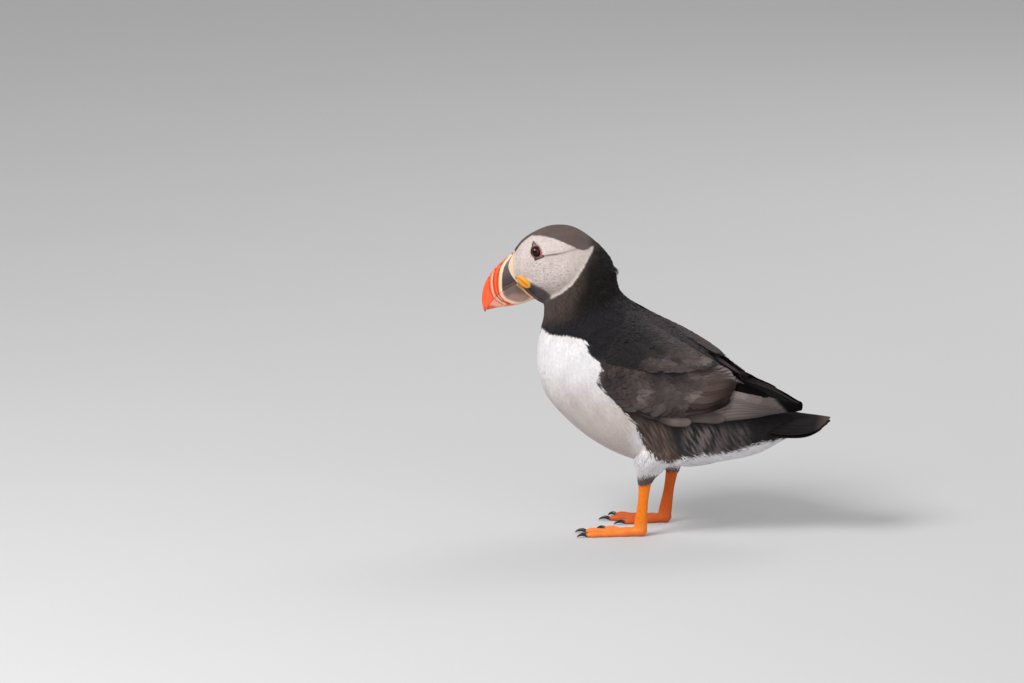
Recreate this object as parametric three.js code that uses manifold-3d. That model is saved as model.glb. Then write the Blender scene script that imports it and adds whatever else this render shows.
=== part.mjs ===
// Atlantic puffin, life size, standing at rest with its wings folded, as one still figure.
// Millimetres, +Z up. The bird faces -X, its left side is -Y, and its soles stand on Z = 0.
// Feathered parts are modelled out to the surface of the plumage.
import * as THREE from "three";
import Module from "manifold-3d";
import { mergeVertices } from "three/addons/utils/BufferGeometryUtils.js";

const wasm = await Module();
wasm.setup();

// ---------------------------------------------------------------- driving sizes

const GAP = 0.3; // clearance between two pieces that meet
const FLATNESS = 0.02; // corners that stand out less than this are left out
const SIDES = { left: -1, right: 1 }; // sign of Y
const HEAD_TURN = THREE.MathUtils.degToRad(8); // the head looks this far to the bird's left
const TURN_AXIS_X = -45; // the upright line through the neck that the head turns about

// Head, neck and trunk are one run of slanted rings from the face to the root of the tail. Each ring
// hangs between a point on the bird's top line and one on its under line, both as [x, z]. Half is its
// half width, egg moves its widest place up or down, and bow pushes its sides towards the bill.
const BODY = [
  { at: "face", top: [-96.8, 192.4], under: [-83.4, 157.7], half: 10.5, egg: -0.18, bow: 6.4 },
  { at: "brow", top: [-91.2, 199.2], under: [-80.6, 156.9], half: 15.6, egg: -0.2, bow: 5 },
  { at: "forehead", top: [-82.8, 204.7], under: [-78.6, 156.1], half: 19.4, egg: -0.2, bow: 2.5 },
  { at: "crown", top: [-71, 208.9], under: [-77.2, 155.2], half: 21.8, egg: -0.16, bow: 0.5 },
  { at: "hind crown", top: [-57, 207.7], under: [-76.8, 153], half: 23.4, egg: -0.1, bow: 0 },
  { at: "nape", top: [-43, 198.6], under: [-76.9, 149], half: 24.4, egg: -0.04, bow: 0 },
  { at: "hind neck", top: [-32.2, 185.6], under: [-77.4, 143.5], half: 25.8, egg: 0, bow: 0 },
  { at: "neck", top: [-28.2, 172.4], under: [-79.4, 135.5], half: 28.6, egg: 0, bow: 0 },
  { at: "neck base", top: [-24.8, 162], under: [-81.2, 124.5], half: 33, egg: 0, bow: 0 },
  { at: "shoulder", top: [-11.5, 152.2], under: [-81, 110], half: 39, egg: 0, bow: 0 },
  { at: "breast", top: [4, 143.4], under: [-75.4, 92.8], half: 43, egg: 0, bow: 0 },
  { at: "mantle", top: [19, 133], under: [-62.8, 77.8], half: 44, egg: 0, bow: 0 },
  { at: "back", top: [35, 121.5], under: [-45, 63.4], half: 42.6, egg: -0.04, bow: 0 },
  { at: "lower back", top: [48.5, 110.5], under: [-23.5, 52.6], half: 39.5, egg: -0.08, bow: 0 },
  { at: "loin", top: [61, 101.5], under: [0, 46.6], half: 34.5, egg: -0.1, bow: 0 },
  { at: "rump", top: [72, 95.4], under: [25, 46.8], half: 28.5, egg: -0.1, bow: 0 },
  { at: "tail coverts", top: [82, 90.2], under: [49, 50.6], half: 23, egg: -0.08, bow: 0 },
  { at: "vent", top: [90, 86.6], under: [70, 56], half: 18, egg: -0.05, bow: 0 },
  { at: "tail root", top: [97, 83.6], under: [88, 66], half: 13, egg: 0, bow: 0 },
];

// The bill is tall, thin and hooked. Each section stands between the ridge and the line of the mouth,
// or the mouth and the keel of the lower bill, as [x, z] on the head before it is turned.
const BILL = [
  { at: "base", ridge: [-96.6, 191.6], mouth: [-88.5, 172], keel: [-83.6, 157.6], half: 9.8, bow: 3.4 },
  { at: "cere", ridge: [-99.6, 189.3], mouth: [-94.6, 170.6], keel: [-87, 156], half: 9.2, bow: 3.8 },
  { at: "slate", ridge: [-105.2, 184.5], mouth: [-99.4, 168], keel: [-92.6, 154], half: 8.2, bow: 3.4 },
  { at: "rib", ridge: [-111.1, 178.6], mouth: [-104.4, 164.7], keel: [-98.6, 152.9], half: 7, bow: 2.4 },
  { at: "ribs", ridge: [-115.6, 172], mouth: [-108.8, 160.8], keel: [-104.4, 152.2], half: 5.6, bow: 1.4 },
  { at: "fore", ridge: [-118.5, 164.4], mouth: [-112, 156.8], keel: [-109.8, 151.3], half: 4.1, bow: 0.6 },
  { at: "hook", ridge: [-119.2, 156], mouth: [-115, 152.6], keel: [-113.6, 150.6], half: 2.6, bow: 0 },
  { at: "tip", ridge: [-117.4, 149], mouth: [-116.4, 149.2], keel: [-115.8, 149.8], half: 1.2, bow: 0 },
];
const RIDGE_SHARE = 0.3; // half width at the ridge and the keel, as a share of that at the mouth
const CERE_END = 1; // where the pale swollen band at the bill's root stops, in sections
const CERE_RISE = 0.5; // how far the band stands out from the bill

// The rosette in each corner of the mouth lies along the line of the mouth and leans out with the face.
const ROSETTE = { at: [-90, 14.6, 172.9], size: [5.9, 3.3, 2.2], along: [9, 4.6, -6.6], out: [-0.5, 1, 0.1] };

const EYE = { at: [-80.8, 13.1, 192.5], radius: 4.2 };
const UPPER_PLATE = [[-85, 194.6], [-83.9, 199.9], [-81, 196.4]]; // outline as [x, z]
const LOWER_PLATE = [[-84, 190.4], [-76.4, 191.8], [-76.2, 190.2], [-82.6, 188.2]];
const PLATE_RISE = 0.9; // height of an eye plate above the face

// A folded wing is three curved plates that overlap like tiles. Every row gives a plate's lower and
// upper edge as [x, y, z] on the right side, how far it bulges between them, and its thickness.
const SCAPULARS = [
  { low: [-38, 27, 139], high: [-30, 12, 150], bulge: 0, thick: 4 },
  { low: [-31, 41, 127], high: [-20, 12, 155.2], bulge: 3.6, thick: 8 },
  { low: [-12, 43, 124.2], high: [-4, 11, 147.8], bulge: 6, thick: 9 },
  { low: [8, 40, 122.4], high: [11, 12, 138.6], bulge: 6.4, thick: 9 },
  { low: [26, 32.6, 121], high: [26, 13, 130], bulge: 4.6, thick: 7 },
  { low: [38, 24, 120.8], high: [38, 12.6, 122.9], bulge: 2.2, thick: 4 },
  { low: [44, 17, 119.4], high: [44.4, 12.8, 119.6], bulge: 0.5, thick: 2.2 },
];
const COVERTS = [
  { low: [-36, 32, 119], high: [-36, 29, 131], bulge: 0.4, thick: 4 },
  { low: [-29.5, 44, 107.5], high: [-22, 38.6, 131], bulge: 2, thick: 7 },
  { low: [-16.7, 46, 95.6], high: [-4, 36.6, 131], bulge: 3.4, thick: 8 },
  { low: [3.8, 45.4, 86.4], high: [15, 30, 129], bulge: 4.6, thick: 8 },
  { low: [24, 43, 88.6], high: [31, 20, 125], bulge: 5, thick: 8 },
  { low: [41.7, 37.6, 90.5], high: [43.5, 13, 119], bulge: 4.6, thick: 6 },
  { low: [53, 31.6, 94.6], high: [52.6, 9.4, 113.4], bulge: 3, thick: 4 },
  { low: [58.4, 26, 100.4], high: [58.6, 12.4, 108.4], bulge: 1, thick: 2.6 },
];
const FLIGHT = [
  { low: [-12, 42.6, 92.4], high: [-8, 42, 104], bulge: 0.6, thick: 3 },
  { low: [13.8, 43, 81.8], high: [16, 39, 102], bulge: 1.6, thick: 3.6 },
  { low: [36.7, 37, 82.6], high: [38, 31, 103], bulge: 1.8, thick: 3.6 },
  { low: [56, 31, 84.4], high: [57, 20.4, 103.6], bulge: 1.8, thick: 3 },
  { low: [72, 25.6, 85.8], high: [72.6, 18.4, 99.9], bulge: 1.4, thick: 2.6 },
  { low: [86, 19, 88], high: [86, 11.6, 95.8], bulge: 0.9, thick: 2.2 },
  { low: [96, 13, 89.6], high: [96, 7, 92.2], bulge: 0.4, thick: 1.8 },
  { low: [102.2, 8.2, 89.5], high: [102.2, 6.2, 90.2], bulge: 0.1, thick: 1.4 },
];
const EDGE_SHARE = 0.4; // thickness at a plate's edge, as a share of that in its middle

// The tail is a short rounded fan, arched like a roof: rows give its place, the height of its middle,
// how far its sides hang below that, its half width and its thickness.
const TAIL = [
  { x: 70, z: 90, droop: 15, half: 17, thick: 4 },
  { x: 84, z: 87, droop: 13, half: 20, thick: 3.4 },
  { x: 97, z: 84.4, droop: 10.4, half: 22, thick: 2.6 },
  { x: 107, z: 82.8, droop: 7.6, half: 22.4, thick: 2 },
  { x: 113.5, z: 82, droop: 4.6, half: 18.6, thick: 1.6 },
  { x: 117.6, z: 81.5, droop: 1.8, half: 10.6, thick: 1.3 },
  { x: 119.8, z: 81.2, droop: 0.3, half: 3.4, thick: 1 },
];

// Both legs, as [x, y, z] on the right side. The right foot stands a little behind the left one.
const LEGS = {
  left: { thigh: [2, 24, 60], knee: [-4, 22, 37.6], foot: [-7, 22.4, 7] },
  right: { thigh: [6, 24, 60], knee: [7.6, 22, 37.6], foot: [2.4, 22.4, 7] },
};
// Radii along each limb, as [fore and aft or upward, sideways].
const THIGH_RADII = [[5, 4], [16, 10], [18.5, 12.4], [11.5, 10], [6.2, 5.8], [4.9, 4.4]];
const THIGH_HEIGHTS = [1.4, 1.25, 0.8, 0.45, 0.15, 0]; // shares of the way from the knee to the thigh
const SHANK_RADII = [[4.5, 2.9], [3.8, 2.5], [3.6, 2.3], [4.1, 2.7], [4.6, 3.4]];
const ANKLE = { radii: [4.7, 3.9, 4.2], height: 4 };

// Three webbed toes and no hind toe. Spread is a toe's angle off straight ahead, in degrees.
const TOES = {
  inner: { spread: -24, length: 29, claw: 7 },
  middle: { spread: -3, length: 38.5, claw: 7 },
  outer: { spread: 17, length: 37.5, claw: 6 },
};
const TOE_RADII = [[3.6, 3.3], [2.9, 2.6], [2.2, 2.1], [2.3, 2.2], [1.9, 1.8]];
const TOE_HEIGHTS = [3.4, 2.5, 1.8, 1.7, 1.5]; // height of a toe's middle above the floor
const WEB = { thick: 1.1, lift: 0.15, reach: 0.93, hollow: 0.12, heel: 2 };
const CLAW_SHARES = [-0.6, 0.25, 0.6, 1]; // places along a claw, as shares of its length
const CLAW_HEIGHTS = [1.8, 2.1, 1.7, 0.5];
const CLAW_RADII = [[1.2, 1.1], [1.15, 1], [0.85, 0.75], [0.3, 0.3]];

// ---------------------------------------------------------------- colours and materials

function finish(colour, roughness, metalness = 0) {
  return new THREE.MeshStandardMaterial({ color: colour, roughness, metalness });
}

const materials = {
  blackPlumage: finish(0x1d1a1b, 0.75),
  greyPlumage: finish(0xcfc8c6, 0.85),
  whitePlumage: finish(0xe9e7e6, 0.85),
  wingPlumage: finish(0x2b2626, 0.7),
  billOrange: finish(0xef5a24, 0.35),
  billSlate: finish(0x4c4d55, 0.45),
  billCream: finish(0xecd9ae, 0.5),
  rosette: finish(0xf2b51c, 0.55),
  eye: finish(0x1a0f0d, 0.08),
  eyeHorn: finish(0x4a4348, 0.5),
  legOrange: finish(0xe9691c, 0.5),
  claw: finish(0x1b1714, 0.4),
};

// ---------------------------------------------------------------- splines and lofts

// Uniform Catmull-Rom through equally spaced values, with its ends carried straight on.
function spline(values, t) {
  const last = values.length - 1;
  const i = Math.min(Math.max(Math.floor(t), 0), last - 1);
  const f = t - i;
  const b = values[i];
  const c = values[i + 1];
  const a = i > 0 ? values[i - 1] : 2 * b - c;
  const d = i + 1 < last ? values[i + 2] : 2 * c - b;
  return b + 0.5 * f * (c - a + f * (2 * a - 5 * b + 4 * c - d + f * (3 * (b - c) + d - a)));
}

// Reads one number of every row of a table at the place t along it.
function along(table, key, t, part) {
  return spline(table.map((row) => (part === undefined ? row[key] : row[key][part])), t);
}

function smoothstep(low, high, x) {
  const t = THREE.MathUtils.clamp((x - low) / (high - low), 0, 1);
  return t * t * (3 - 2 * t);
}

function steps(from, to, count) {
  return Array.from({ length: count + 1 }, (_, i) => from + ((to - from) * i) / count);
}

// Turns a point with the head, wholly at weight 1 and not at all at weight 0.
function turned(point, weight = 1) {
  const angle = HEAD_TURN * weight;
  const x = point.x - TURN_AXIS_X;
  return new THREE.Vector3(
    TURN_AXIS_X + x * Math.cos(angle) - point.y * Math.sin(angle),
    x * Math.sin(angle) + point.y * Math.cos(angle),
    point.z,
  );
}

// A closed solid through rings of points, each end closed by a fan round the ring's middle.
function loft(rings) {
  const around = rings[0].length;
  const points = rings.flat();
  const triangles = [];
  for (let r = 0; r + 1 < rings.length; r++) {
    for (let k = 0; k < around; k++) {
      const a = r * around + k;
      const b = r * around + ((k + 1) % around);
      triangles.push(a, b, a + around, b, b + around, a + around);
    }
  }
  for (const end of [0, rings.length - 1]) {
    const middle = rings[end].reduce((sum, p) => sum.add(p), new THREE.Vector3());
    points.push(middle.divideScalar(around));
    for (let k = 0; k < around; k++) {
      const pair = [end * around + k, end * around + ((k + 1) % around)];
      if (end === 0) pair.reverse();
      triangles.push(points.length - 1, pair[0], pair[1]);
    }
  }
  return facingOut(new THREE.BufferGeometry().setFromPoints(points).setIndex(triangles));
}

// Turns every face round if the closed geometry is inside out.
function facingOut(geometry) {
  const p = geometry.getAttribute("position");
  const index = geometry.getIndex().array;
  const [a, b, c] = [new THREE.Vector3(), new THREE.Vector3(), new THREE.Vector3()];
  let volume = 0;
  for (let i = 0; i < index.length; i += 3) {
    a.fromBufferAttribute(p, index[i]);
    b.fromBufferAttribute(p, index[i + 1]);
    c.fromBufferAttribute(p, index[i + 2]);
    volume += a.dot(b.cross(c));
  }
  if (volume < 0) geometry.setIndex([...index].reverse());
  return geometry;
}

// A round limb through rows of { at: [x, y, z], r: [fore and aft or upward, sideways] }. Its rings lie
// square to its path, or level on an upright limb.
function limb(rows, count, sides, upright = false, grow = 0) {
  const centre = (t) => new THREE.Vector3(...[0, 1, 2].map((k) => along(rows, "at", t, k)));
  const rings = steps(0, rows.length - 1, count).map((t) => {
    const heading = centre(t + 0.01).sub(centre(t - 0.01));
    const ahead = upright ? new THREE.Vector3(0, 0, 1) : heading.normalize();
    const across = upright
      ? new THREE.Vector3(0, 1, 0)
      : new THREE.Vector3(-ahead.y, ahead.x, 0).normalize();
    const up = new THREE.Vector3().crossVectors(across, ahead).normalize();
    const [tall, wide] = [0, 1].map((k) => Math.max(along(rows, "r", t, k) + grow, 0.15));
    return steps(0, 2 * Math.PI, sides).slice(0, sides).map((angle) =>
      centre(t).addScaledVector(up, tall * Math.cos(angle)).addScaledVector(across, wide * Math.sin(angle)),
    );
  });
  return loft(rings);
}

// ---------------------------------------------------------------- solids

function solid(geometry) {
  const bare = geometry.clone();
  bare.deleteAttribute("normal");
  bare.deleteAttribute("uv");
  const merged = mergeVertices(bare, 1e-4);
  return new wasm.Manifold(
    new wasm.Mesh({
      numProp: 3,
      vertProperties: new Float32Array(merged.getAttribute("position").array),
      triVerts: new Uint32Array(merged.getIndex().array),
    }),
  );
}

// The largest body of a solid, without the crumbs that a cut leaves.
function mainBody(cut) {
  return cut.decompose().sort((a, b) => b.volume() - a.volume())[0];
}

function geometryOf(made) {
  const mesh = made.getMesh();
  const positions = new THREE.BufferAttribute(new Float32Array(mesh.vertProperties), 3);
  return new THREE.BufferGeometry()
    .setAttribute("position", positions)
    .setIndex(new THREE.BufferAttribute(new Uint32Array(mesh.triVerts), 1));
}

const puffin = new THREE.Group();

function addPiece(name, made, material) {
  const mesh = new THREE.Mesh(geometryOf(mainBody(made.simplify(FLATNESS))), material);
  mesh.name = name;
  puffin.add(mesh);
}

// ---------------------------------------------------------------- head, neck and trunk

// Rows of BODY where its parts end and the head's turn fades out.
const ringNamed = (name) => BODY.findIndex((row) => row.at === name);
const HEAD_END = ringNamed("nape");
const NECK_END = ringNamed("neck base") + 0.3;
const BODY_END = BODY.length - 1;
const TURN_FADE = [ringNamed("hind neck"), ringNamed("shoulder") + 0.5];
const RING_GAP = 0.1; // left open between two parts, in rings
const RINGS_PER_ROW = 1.9;
const BODY_SIDES = 24;

// A point of the plumage on ring s: angle 0 is the top line, 90 degrees the right side.
function bodyPoint(s, angle, grow = 0) {
  const top = new THREE.Vector2(along(BODY, "top", s, 0), along(BODY, "top", s, 1));
  const under = new THREE.Vector2(along(BODY, "under", s, 0), along(BODY, "under", s, 1));
  const middle = top.clone().add(under).multiplyScalar(0.5);
  const tall = top.sub(under).multiplyScalar(0.5);
  const unit = tall.clone().normalize();
  const bulge = Math.sin(angle) ** 2;
  const rise = (tall.length() + grow) * (Math.cos(angle) + along(BODY, "egg", s) * bulge);
  const forward = along(BODY, "bow", s) * bulge;
  const point = new THREE.Vector3(
    middle.x + unit.x * rise - unit.y * forward,
    (along(BODY, "half", s) + grow) * Math.sin(angle),
    middle.y + unit.y * rise + unit.x * forward,
  );
  return turned(point, 1 - smoothstep(...TURN_FADE, s));
}

function bodyLoft(from, to, grow = 0) {
  const count = Math.round((to - from) * RINGS_PER_ROW);
  return solid(loft(steps(from, to, count).map((s) =>
    steps(0, 2 * Math.PI, BODY_SIDES).slice(0, BODY_SIDES).map((angle) => bodyPoint(s, angle, grow)),
  )));
}

const head = bodyLoft(0, HEAD_END);
const grownHead = bodyLoft(-0.02, HEAD_END, GAP);
const neck = bodyLoft(HEAD_END + RING_GAP, NECK_END);
const trunk = bodyLoft(NECK_END + RING_GAP, BODY_END);
const grownTrunk = bodyLoft(NECK_END - 1, BODY_END + 0.05, GAP);

addPiece("neck", neck, materials.blackPlumage);
addPiece("trunk", trunk, materials.whitePlumage);

// ---------------------------------------------------------------- bill and rosettes

// One section of a bill half, from its edge at the mouth out to its ridge or keel and back. "Lift" is
// how far the edge is held off the mouth line.
function billRing(t, outer, lift, grow) {
  const edge = new THREE.Vector2(along(BILL, "mouth", t, 0), along(BILL, "mouth", t, 1));
  const up = new THREE.Vector2(along(BILL, outer, t, 0), along(BILL, outer, t, 1)).sub(edge);
  const tall = up.length() + grow - lift;
  up.normalize();
  const half = along(BILL, "half", t) + grow;
  const shares = [0, 0.3, 0.6, 0.86, 0.97];
  const section = (share, side) => {
    const rise = lift + tall * share;
    const bow = outer === "ridge" ? along(BILL, "bow", t) * 4 * share * (1 - share) : 0;
    const taper = RIDGE_SHARE + (1 - RIDGE_SHARE) * (1 - share) ** 0.8;
    const width = half * taper * (share > 0.9 ? 0.6 : 1);
    return turned(new THREE.Vector3(edge.x + up.x * rise - bow, side * width, edge.y + up.y * rise));
  };
  const downwards = shares.toReversed();
  return [...shares.map((share) => section(share, 1)), ...downwards.map((share) => section(share, -1))];
}

function billLoft(from, to, outer, count, grow = 0) {
  const lift = grow > 0 ? -GAP / 2 : GAP / 2;
  return solid(loft(steps(from, to, count).map((t) => billRing(t, outer, lift, grow))));
}

function turnGeometry(geometry) {
  const p = geometry.getAttribute("position");
  for (let i = 0; i < p.count; i++) {
    const point = turned(new THREE.Vector3().fromBufferAttribute(p, i));
    p.setXYZ(i, point.x, point.y, point.z);
  }
  return geometry;
}

// The wrinkled yellow rosette is a flat cushion on the side of the face.
function rosette(side, grow = 0) {
  const long = new THREE.Vector3(ROSETTE.along[0], side * ROSETTE.along[1], ROSETTE.along[2]).normalize();
  const out = new THREE.Vector3(ROSETTE.out[0], side * ROSETTE.out[1], ROSETTE.out[2]);
  const wide = new THREE.Vector3().crossVectors(out, long).normalize();
  const frame = new THREE.Matrix4().makeBasis(long, wide, new THREE.Vector3().crossVectors(long, wide));
  frame.setPosition(ROSETTE.at[0], side * ROSETTE.at[1], ROSETTE.at[2]);
  const geometry = new THREE.SphereGeometry(1, 12, 8);
  geometry.scale(...ROSETTE.size.map((radius) => radius + grow));
  geometry.applyMatrix4(frame);
  return solid(turnGeometry(geometry));
}

const BILL_END = BILL.length - 1;
const gapes = rosette(SIDES.left, GAP).add(rosette(SIDES.right, GAP));
const upperBill = billLoft(CERE_END + 0.08, BILL_END, "ridge", 9);
const lowerBill = billLoft(0.1, BILL_END - 0.6, "keel", 9);
const cere = billLoft(-0.5, CERE_END, "ridge", 4, CERE_RISE).subtract(billLoft(-0.7, 2.2, "keel", 5, GAP));

// ---------------------------------------------------------------- eyes
// Each eyeball sits in a socket cut in the head. A pointed horny plate stands over it and a short bar
// lies under it, both on the skin of the face.

function eyeball(side, grow = 0) {
  const geometry = new THREE.SphereGeometry(EYE.radius + grow, 14, 9);
  geometry.translate(EYE.at[0], side * EYE.at[1], EYE.at[2]);
  return solid(turnGeometry(geometry));
}

// A plate is the part of a prism, standing out sideways through the face, that lies just over the skin.
function eyePlate(outline, side) {
  const shape = new THREE.Shape(outline.map(([x, z]) => new THREE.Vector2(x, z)));
  const geometry = new THREE.ExtrudeGeometry(shape, { depth: 30, bevelEnabled: false });
  geometry.rotateX(Math.PI / 2);
  if (side > 0) geometry.translate(0, 30, 0);
  const prism = solid(turnGeometry(geometry));
  const raised = prism.intersect(bodyLoft(0, HEAD_END, GAP + PLATE_RISE));
  return raised.subtract(grownHead).subtract(eyeball(side, GAP));
}

const eyeballs = eyeball(SIDES.left, GAP).add(eyeball(SIDES.right, GAP));
addPiece("head", head.subtract(eyeballs), materials.greyPlumage);
addPiece("bill_upper", upperBill.subtract(grownHead).subtract(gapes), materials.billOrange);
addPiece("bill_lower", lowerBill.subtract(grownHead).subtract(gapes), materials.billSlate);
addPiece("bill_cere", cere.subtract(grownHead).subtract(gapes), materials.billCream);
for (const [name, side] of Object.entries(SIDES)) {
  addPiece(`eye_${name}`, eyeball(side), materials.eye);
  addPiece(`eye_plate_upper_${name}`, eyePlate(UPPER_PLATE, side), materials.eyeHorn);
  addPiece(`eye_plate_lower_${name}`, eyePlate(LOWER_PLATE, side), materials.eyeHorn);
  addPiece(`rosette_${name}`, rosette(side).subtract(grownHead), materials.rosette);
}

// ---------------------------------------------------------------- wings

// A point of a plate: "across" runs from its lower edge, 0, to its upper edge, 1, on its outer face,
// and "depth" is 0 there and 1 on its inner face.
function platePoint(table, u, across, depth, side, grow) {
  const low = new THREE.Vector3(...[0, 1, 2].map((k) => along(table, "low", u, k)));
  const high = new THREE.Vector3(...[0, 1, 2].map((k) => along(table, "high", u, k)));
  const span = high.clone().sub(low);
  const out = new THREE.Vector3(0, span.z, -span.y).normalize();
  const arch = 4 * across * (1 - across);
  const thick = along(table, "thick", u) * (EDGE_SHARE + (1 - EDGE_SHARE) * Math.sqrt(arch));
  const point = low
    .addScaledVector(span, across)
    .addScaledVector(span.normalize(), grow * (2 * across - 1))
    .addScaledVector(out, along(table, "bulge", u) * arch + grow - (thick + 2 * grow) * depth);
  point.y *= side;
  return point;
}

function plate(table, side, grow = 0) {
  const across = steps(0, 1, 5);
  const last = table.length - 1;
  const end = grow > 0 ? 0.06 : 0; // a grown plate is longer too
  return solid(loft(steps(-end, last + end, last * 1.5).map((u) => [
    ...across.map((share) => platePoint(table, u, share, 0, side, grow)),
    ...across.toReversed().map((share) => platePoint(table, u, share, 1, side, grow)),
  ])));
}

for (const [name, side] of Object.entries(SIDES)) {
  const grownScapulars = plate(SCAPULARS, side, GAP);
  const scapulars = plate(SCAPULARS, side).subtract(grownTrunk);
  const coverts = plate(COVERTS, side).subtract(grownTrunk).subtract(grownScapulars);
  const flight = plate(FLIGHT, side).subtract(grownTrunk).subtract(grownScapulars);
  addPiece(`scapulars_${name}`, scapulars, materials.blackPlumage);
  addPiece(`wing_coverts_${name}`, coverts, materials.wingPlumage);
  addPiece(`wing_flight_${name}`, flight.subtract(plate(COVERTS, side, GAP)), materials.wingPlumage);
}

// ---------------------------------------------------------------- tail

function tailRing(t) {
  const [x, z, droop, half, thick] = ["x", "z", "droop", "half", "thick"].map((key) => along(TAIL, key, t));
  const across = steps(-1, 1, 8);
  const point = (share, depth) =>
    new THREE.Vector3(x, half * share, z - droop * Math.abs(share) ** 1.5 - thick * depth);
  return [...across.map((share) => point(share, 0)), ...across.toReversed().map((share) => point(share, 1))];
}

const tail = solid(loft(steps(0, TAIL.length - 1, 8).map(tailRing)));
addPiece("tail", tail.subtract(grownTrunk), materials.blackPlumage);

// ---------------------------------------------------------------- legs and feet

const onSide = (point, side) => [point[0], side * point[1], point[2]];

// A point on the straight line from one place to another, past either end for shares outside 0 to 1.
function between(from, to, share) {
  return from.map((value, k) => value + (to[k] - value) * share);
}

// The feathered thigh, which fades into the flank.
function thigh(leg, side) {
  const centre = (share) => onSide(between(leg.knee, leg.thigh, share), side);
  const rows = THIGH_RADII.map((r, i) => ({ at: centre(THIGH_HEIGHTS[i]), r }));
  return solid(limb(rows, 7, 14, true));
}

// The bare scaly shank, a gap under the thigh, with a swollen joint at each end.
function shank(leg, side) {
  const top = between(leg.knee, leg.thigh, -GAP / (leg.thigh[2] - leg.knee[2]));
  const last = SHANK_RADII.length - 1;
  const rows = SHANK_RADII.map((r, i) => ({ at: onSide(between(top, leg.foot, i / last), side), r }));
  return solid(limb(rows, 5, 12, true));
}

// The place on the floor this far along a toe.
function toePoint(leg, toe, side, distance) {
  const angle = THREE.MathUtils.degToRad(toe.spread);
  const way = new THREE.Vector2(-Math.cos(angle), side * Math.sin(angle));
  return new THREE.Vector2(leg.foot[0], side * leg.foot[1]).addScaledVector(way, distance);
}

function toeSolid(leg, toe, side) {
  const last = TOE_RADII.length - 1;
  const rows = TOE_RADII.map((r, i) => {
    const at = toePoint(leg, toe, side, (toe.length * i) / last);
    return { at: [at.x, at.y, TOE_HEIGHTS[i]], r };
  });
  return solid(limb(rows, 6, 8));
}

// A sheet from the heel along two toes, with a hollow front edge between them.
function web(leg, first, second, side) {
  const heel = toePoint(leg, first, side, WEB.heel);
  const tips = [first, second].map((toe) => toePoint(leg, toe, side, toe.length * WEB.reach));
  const hollow = tips[0].clone().add(tips[1]).multiplyScalar(0.5).lerp(heel, WEB.hollow);
  const shape = new THREE.Shape().moveTo(heel.x, heel.y).lineTo(tips[0].x, tips[0].y);
  shape.quadraticCurveTo(hollow.x, hollow.y, tips[1].x, tips[1].y);
  const options = { depth: WEB.thick, bevelEnabled: false, curveSegments: 4 };
  return solid(new THREE.ExtrudeGeometry(shape, options).translate(0, 0, WEB.lift));
}

function claw(leg, toe, side, grow = 0) {
  const rows = CLAW_SHARES.map((share, i) => {
    const at = toePoint(leg, toe, side, toe.length + toe.claw * share);
    return { at: [at.x, at.y, CLAW_HEIGHTS[i]], r: CLAW_RADII[i] };
  });
  return solid(limb(rows, 5, 6, false, grow));
}

function footSolid(leg, side) {
  const toes = Object.values(TOES);
  const ankle = new THREE.SphereGeometry(1, 10, 8).scale(...ANKLE.radii);
  let foot = solid(ankle.translate(leg.foot[0], side * leg.foot[1], ANKLE.height));
  for (const toe of toes) foot = foot.add(toeSolid(leg, toe, side));
  foot = foot.add(web(leg, TOES.inner, TOES.middle, side)).add(web(leg, TOES.middle, TOES.outer, side));
  for (const toe of toes) foot = foot.subtract(claw(leg, toe, side, GAP));
  return foot;
}

// The part of a solid above or below a level.
function above(made, level) {
  return made.trimByPlane([0, 0, 1], level);
}

function below(made, level) {
  return made.trimByPlane([0, 0, -1], -level);
}

for (const [name, side] of Object.entries(SIDES)) {
  const leg = LEGS[name];
  addPiece(`thigh_${name}`, thigh(leg, side).subtract(grownTrunk), materials.whitePlumage);
  addPiece(`shank_${name}`, above(shank(leg, side), leg.foot[2] + GAP), materials.legOrange);
  addPiece(`foot_${name}`, below(above(footSolid(leg, side), 0), leg.foot[2]), materials.legOrange);
  for (const [toeName, toe] of Object.entries(TOES)) {
    addPiece(`claw_${toeName}_${name}`, above(claw(leg, toe, side), 0), materials.claw);
  }
}

export default puffin;
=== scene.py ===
"""Atlantic puffin at life size: the skin, plumage, bill, eyes and feet that dress its solids.

Tables are in millimetres and meshes in metres. The bird faces -X and its left side is -Y.
"""

import math

import bpy
import numpy as np
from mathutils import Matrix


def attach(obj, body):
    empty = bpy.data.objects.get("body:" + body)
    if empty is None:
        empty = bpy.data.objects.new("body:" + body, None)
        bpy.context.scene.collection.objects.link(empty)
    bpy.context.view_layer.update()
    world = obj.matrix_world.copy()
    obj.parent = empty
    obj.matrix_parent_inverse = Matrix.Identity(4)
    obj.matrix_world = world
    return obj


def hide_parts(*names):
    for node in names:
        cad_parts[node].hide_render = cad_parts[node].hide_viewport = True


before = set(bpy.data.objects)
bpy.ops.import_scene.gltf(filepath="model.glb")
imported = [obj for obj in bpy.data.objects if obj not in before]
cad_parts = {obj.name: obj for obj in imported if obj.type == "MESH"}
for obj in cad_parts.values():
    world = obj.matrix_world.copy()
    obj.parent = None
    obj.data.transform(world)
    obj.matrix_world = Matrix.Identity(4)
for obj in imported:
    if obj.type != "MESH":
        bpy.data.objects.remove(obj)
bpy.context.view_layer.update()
MM = 0.001

# ---------------------------------------------------------------- skin
# One closed skin runs over the head, neck, trunk, thighs, wings and tail. It lies under the plumage
# by the depth of the feathers, and it wears the same markings as they do.

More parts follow.
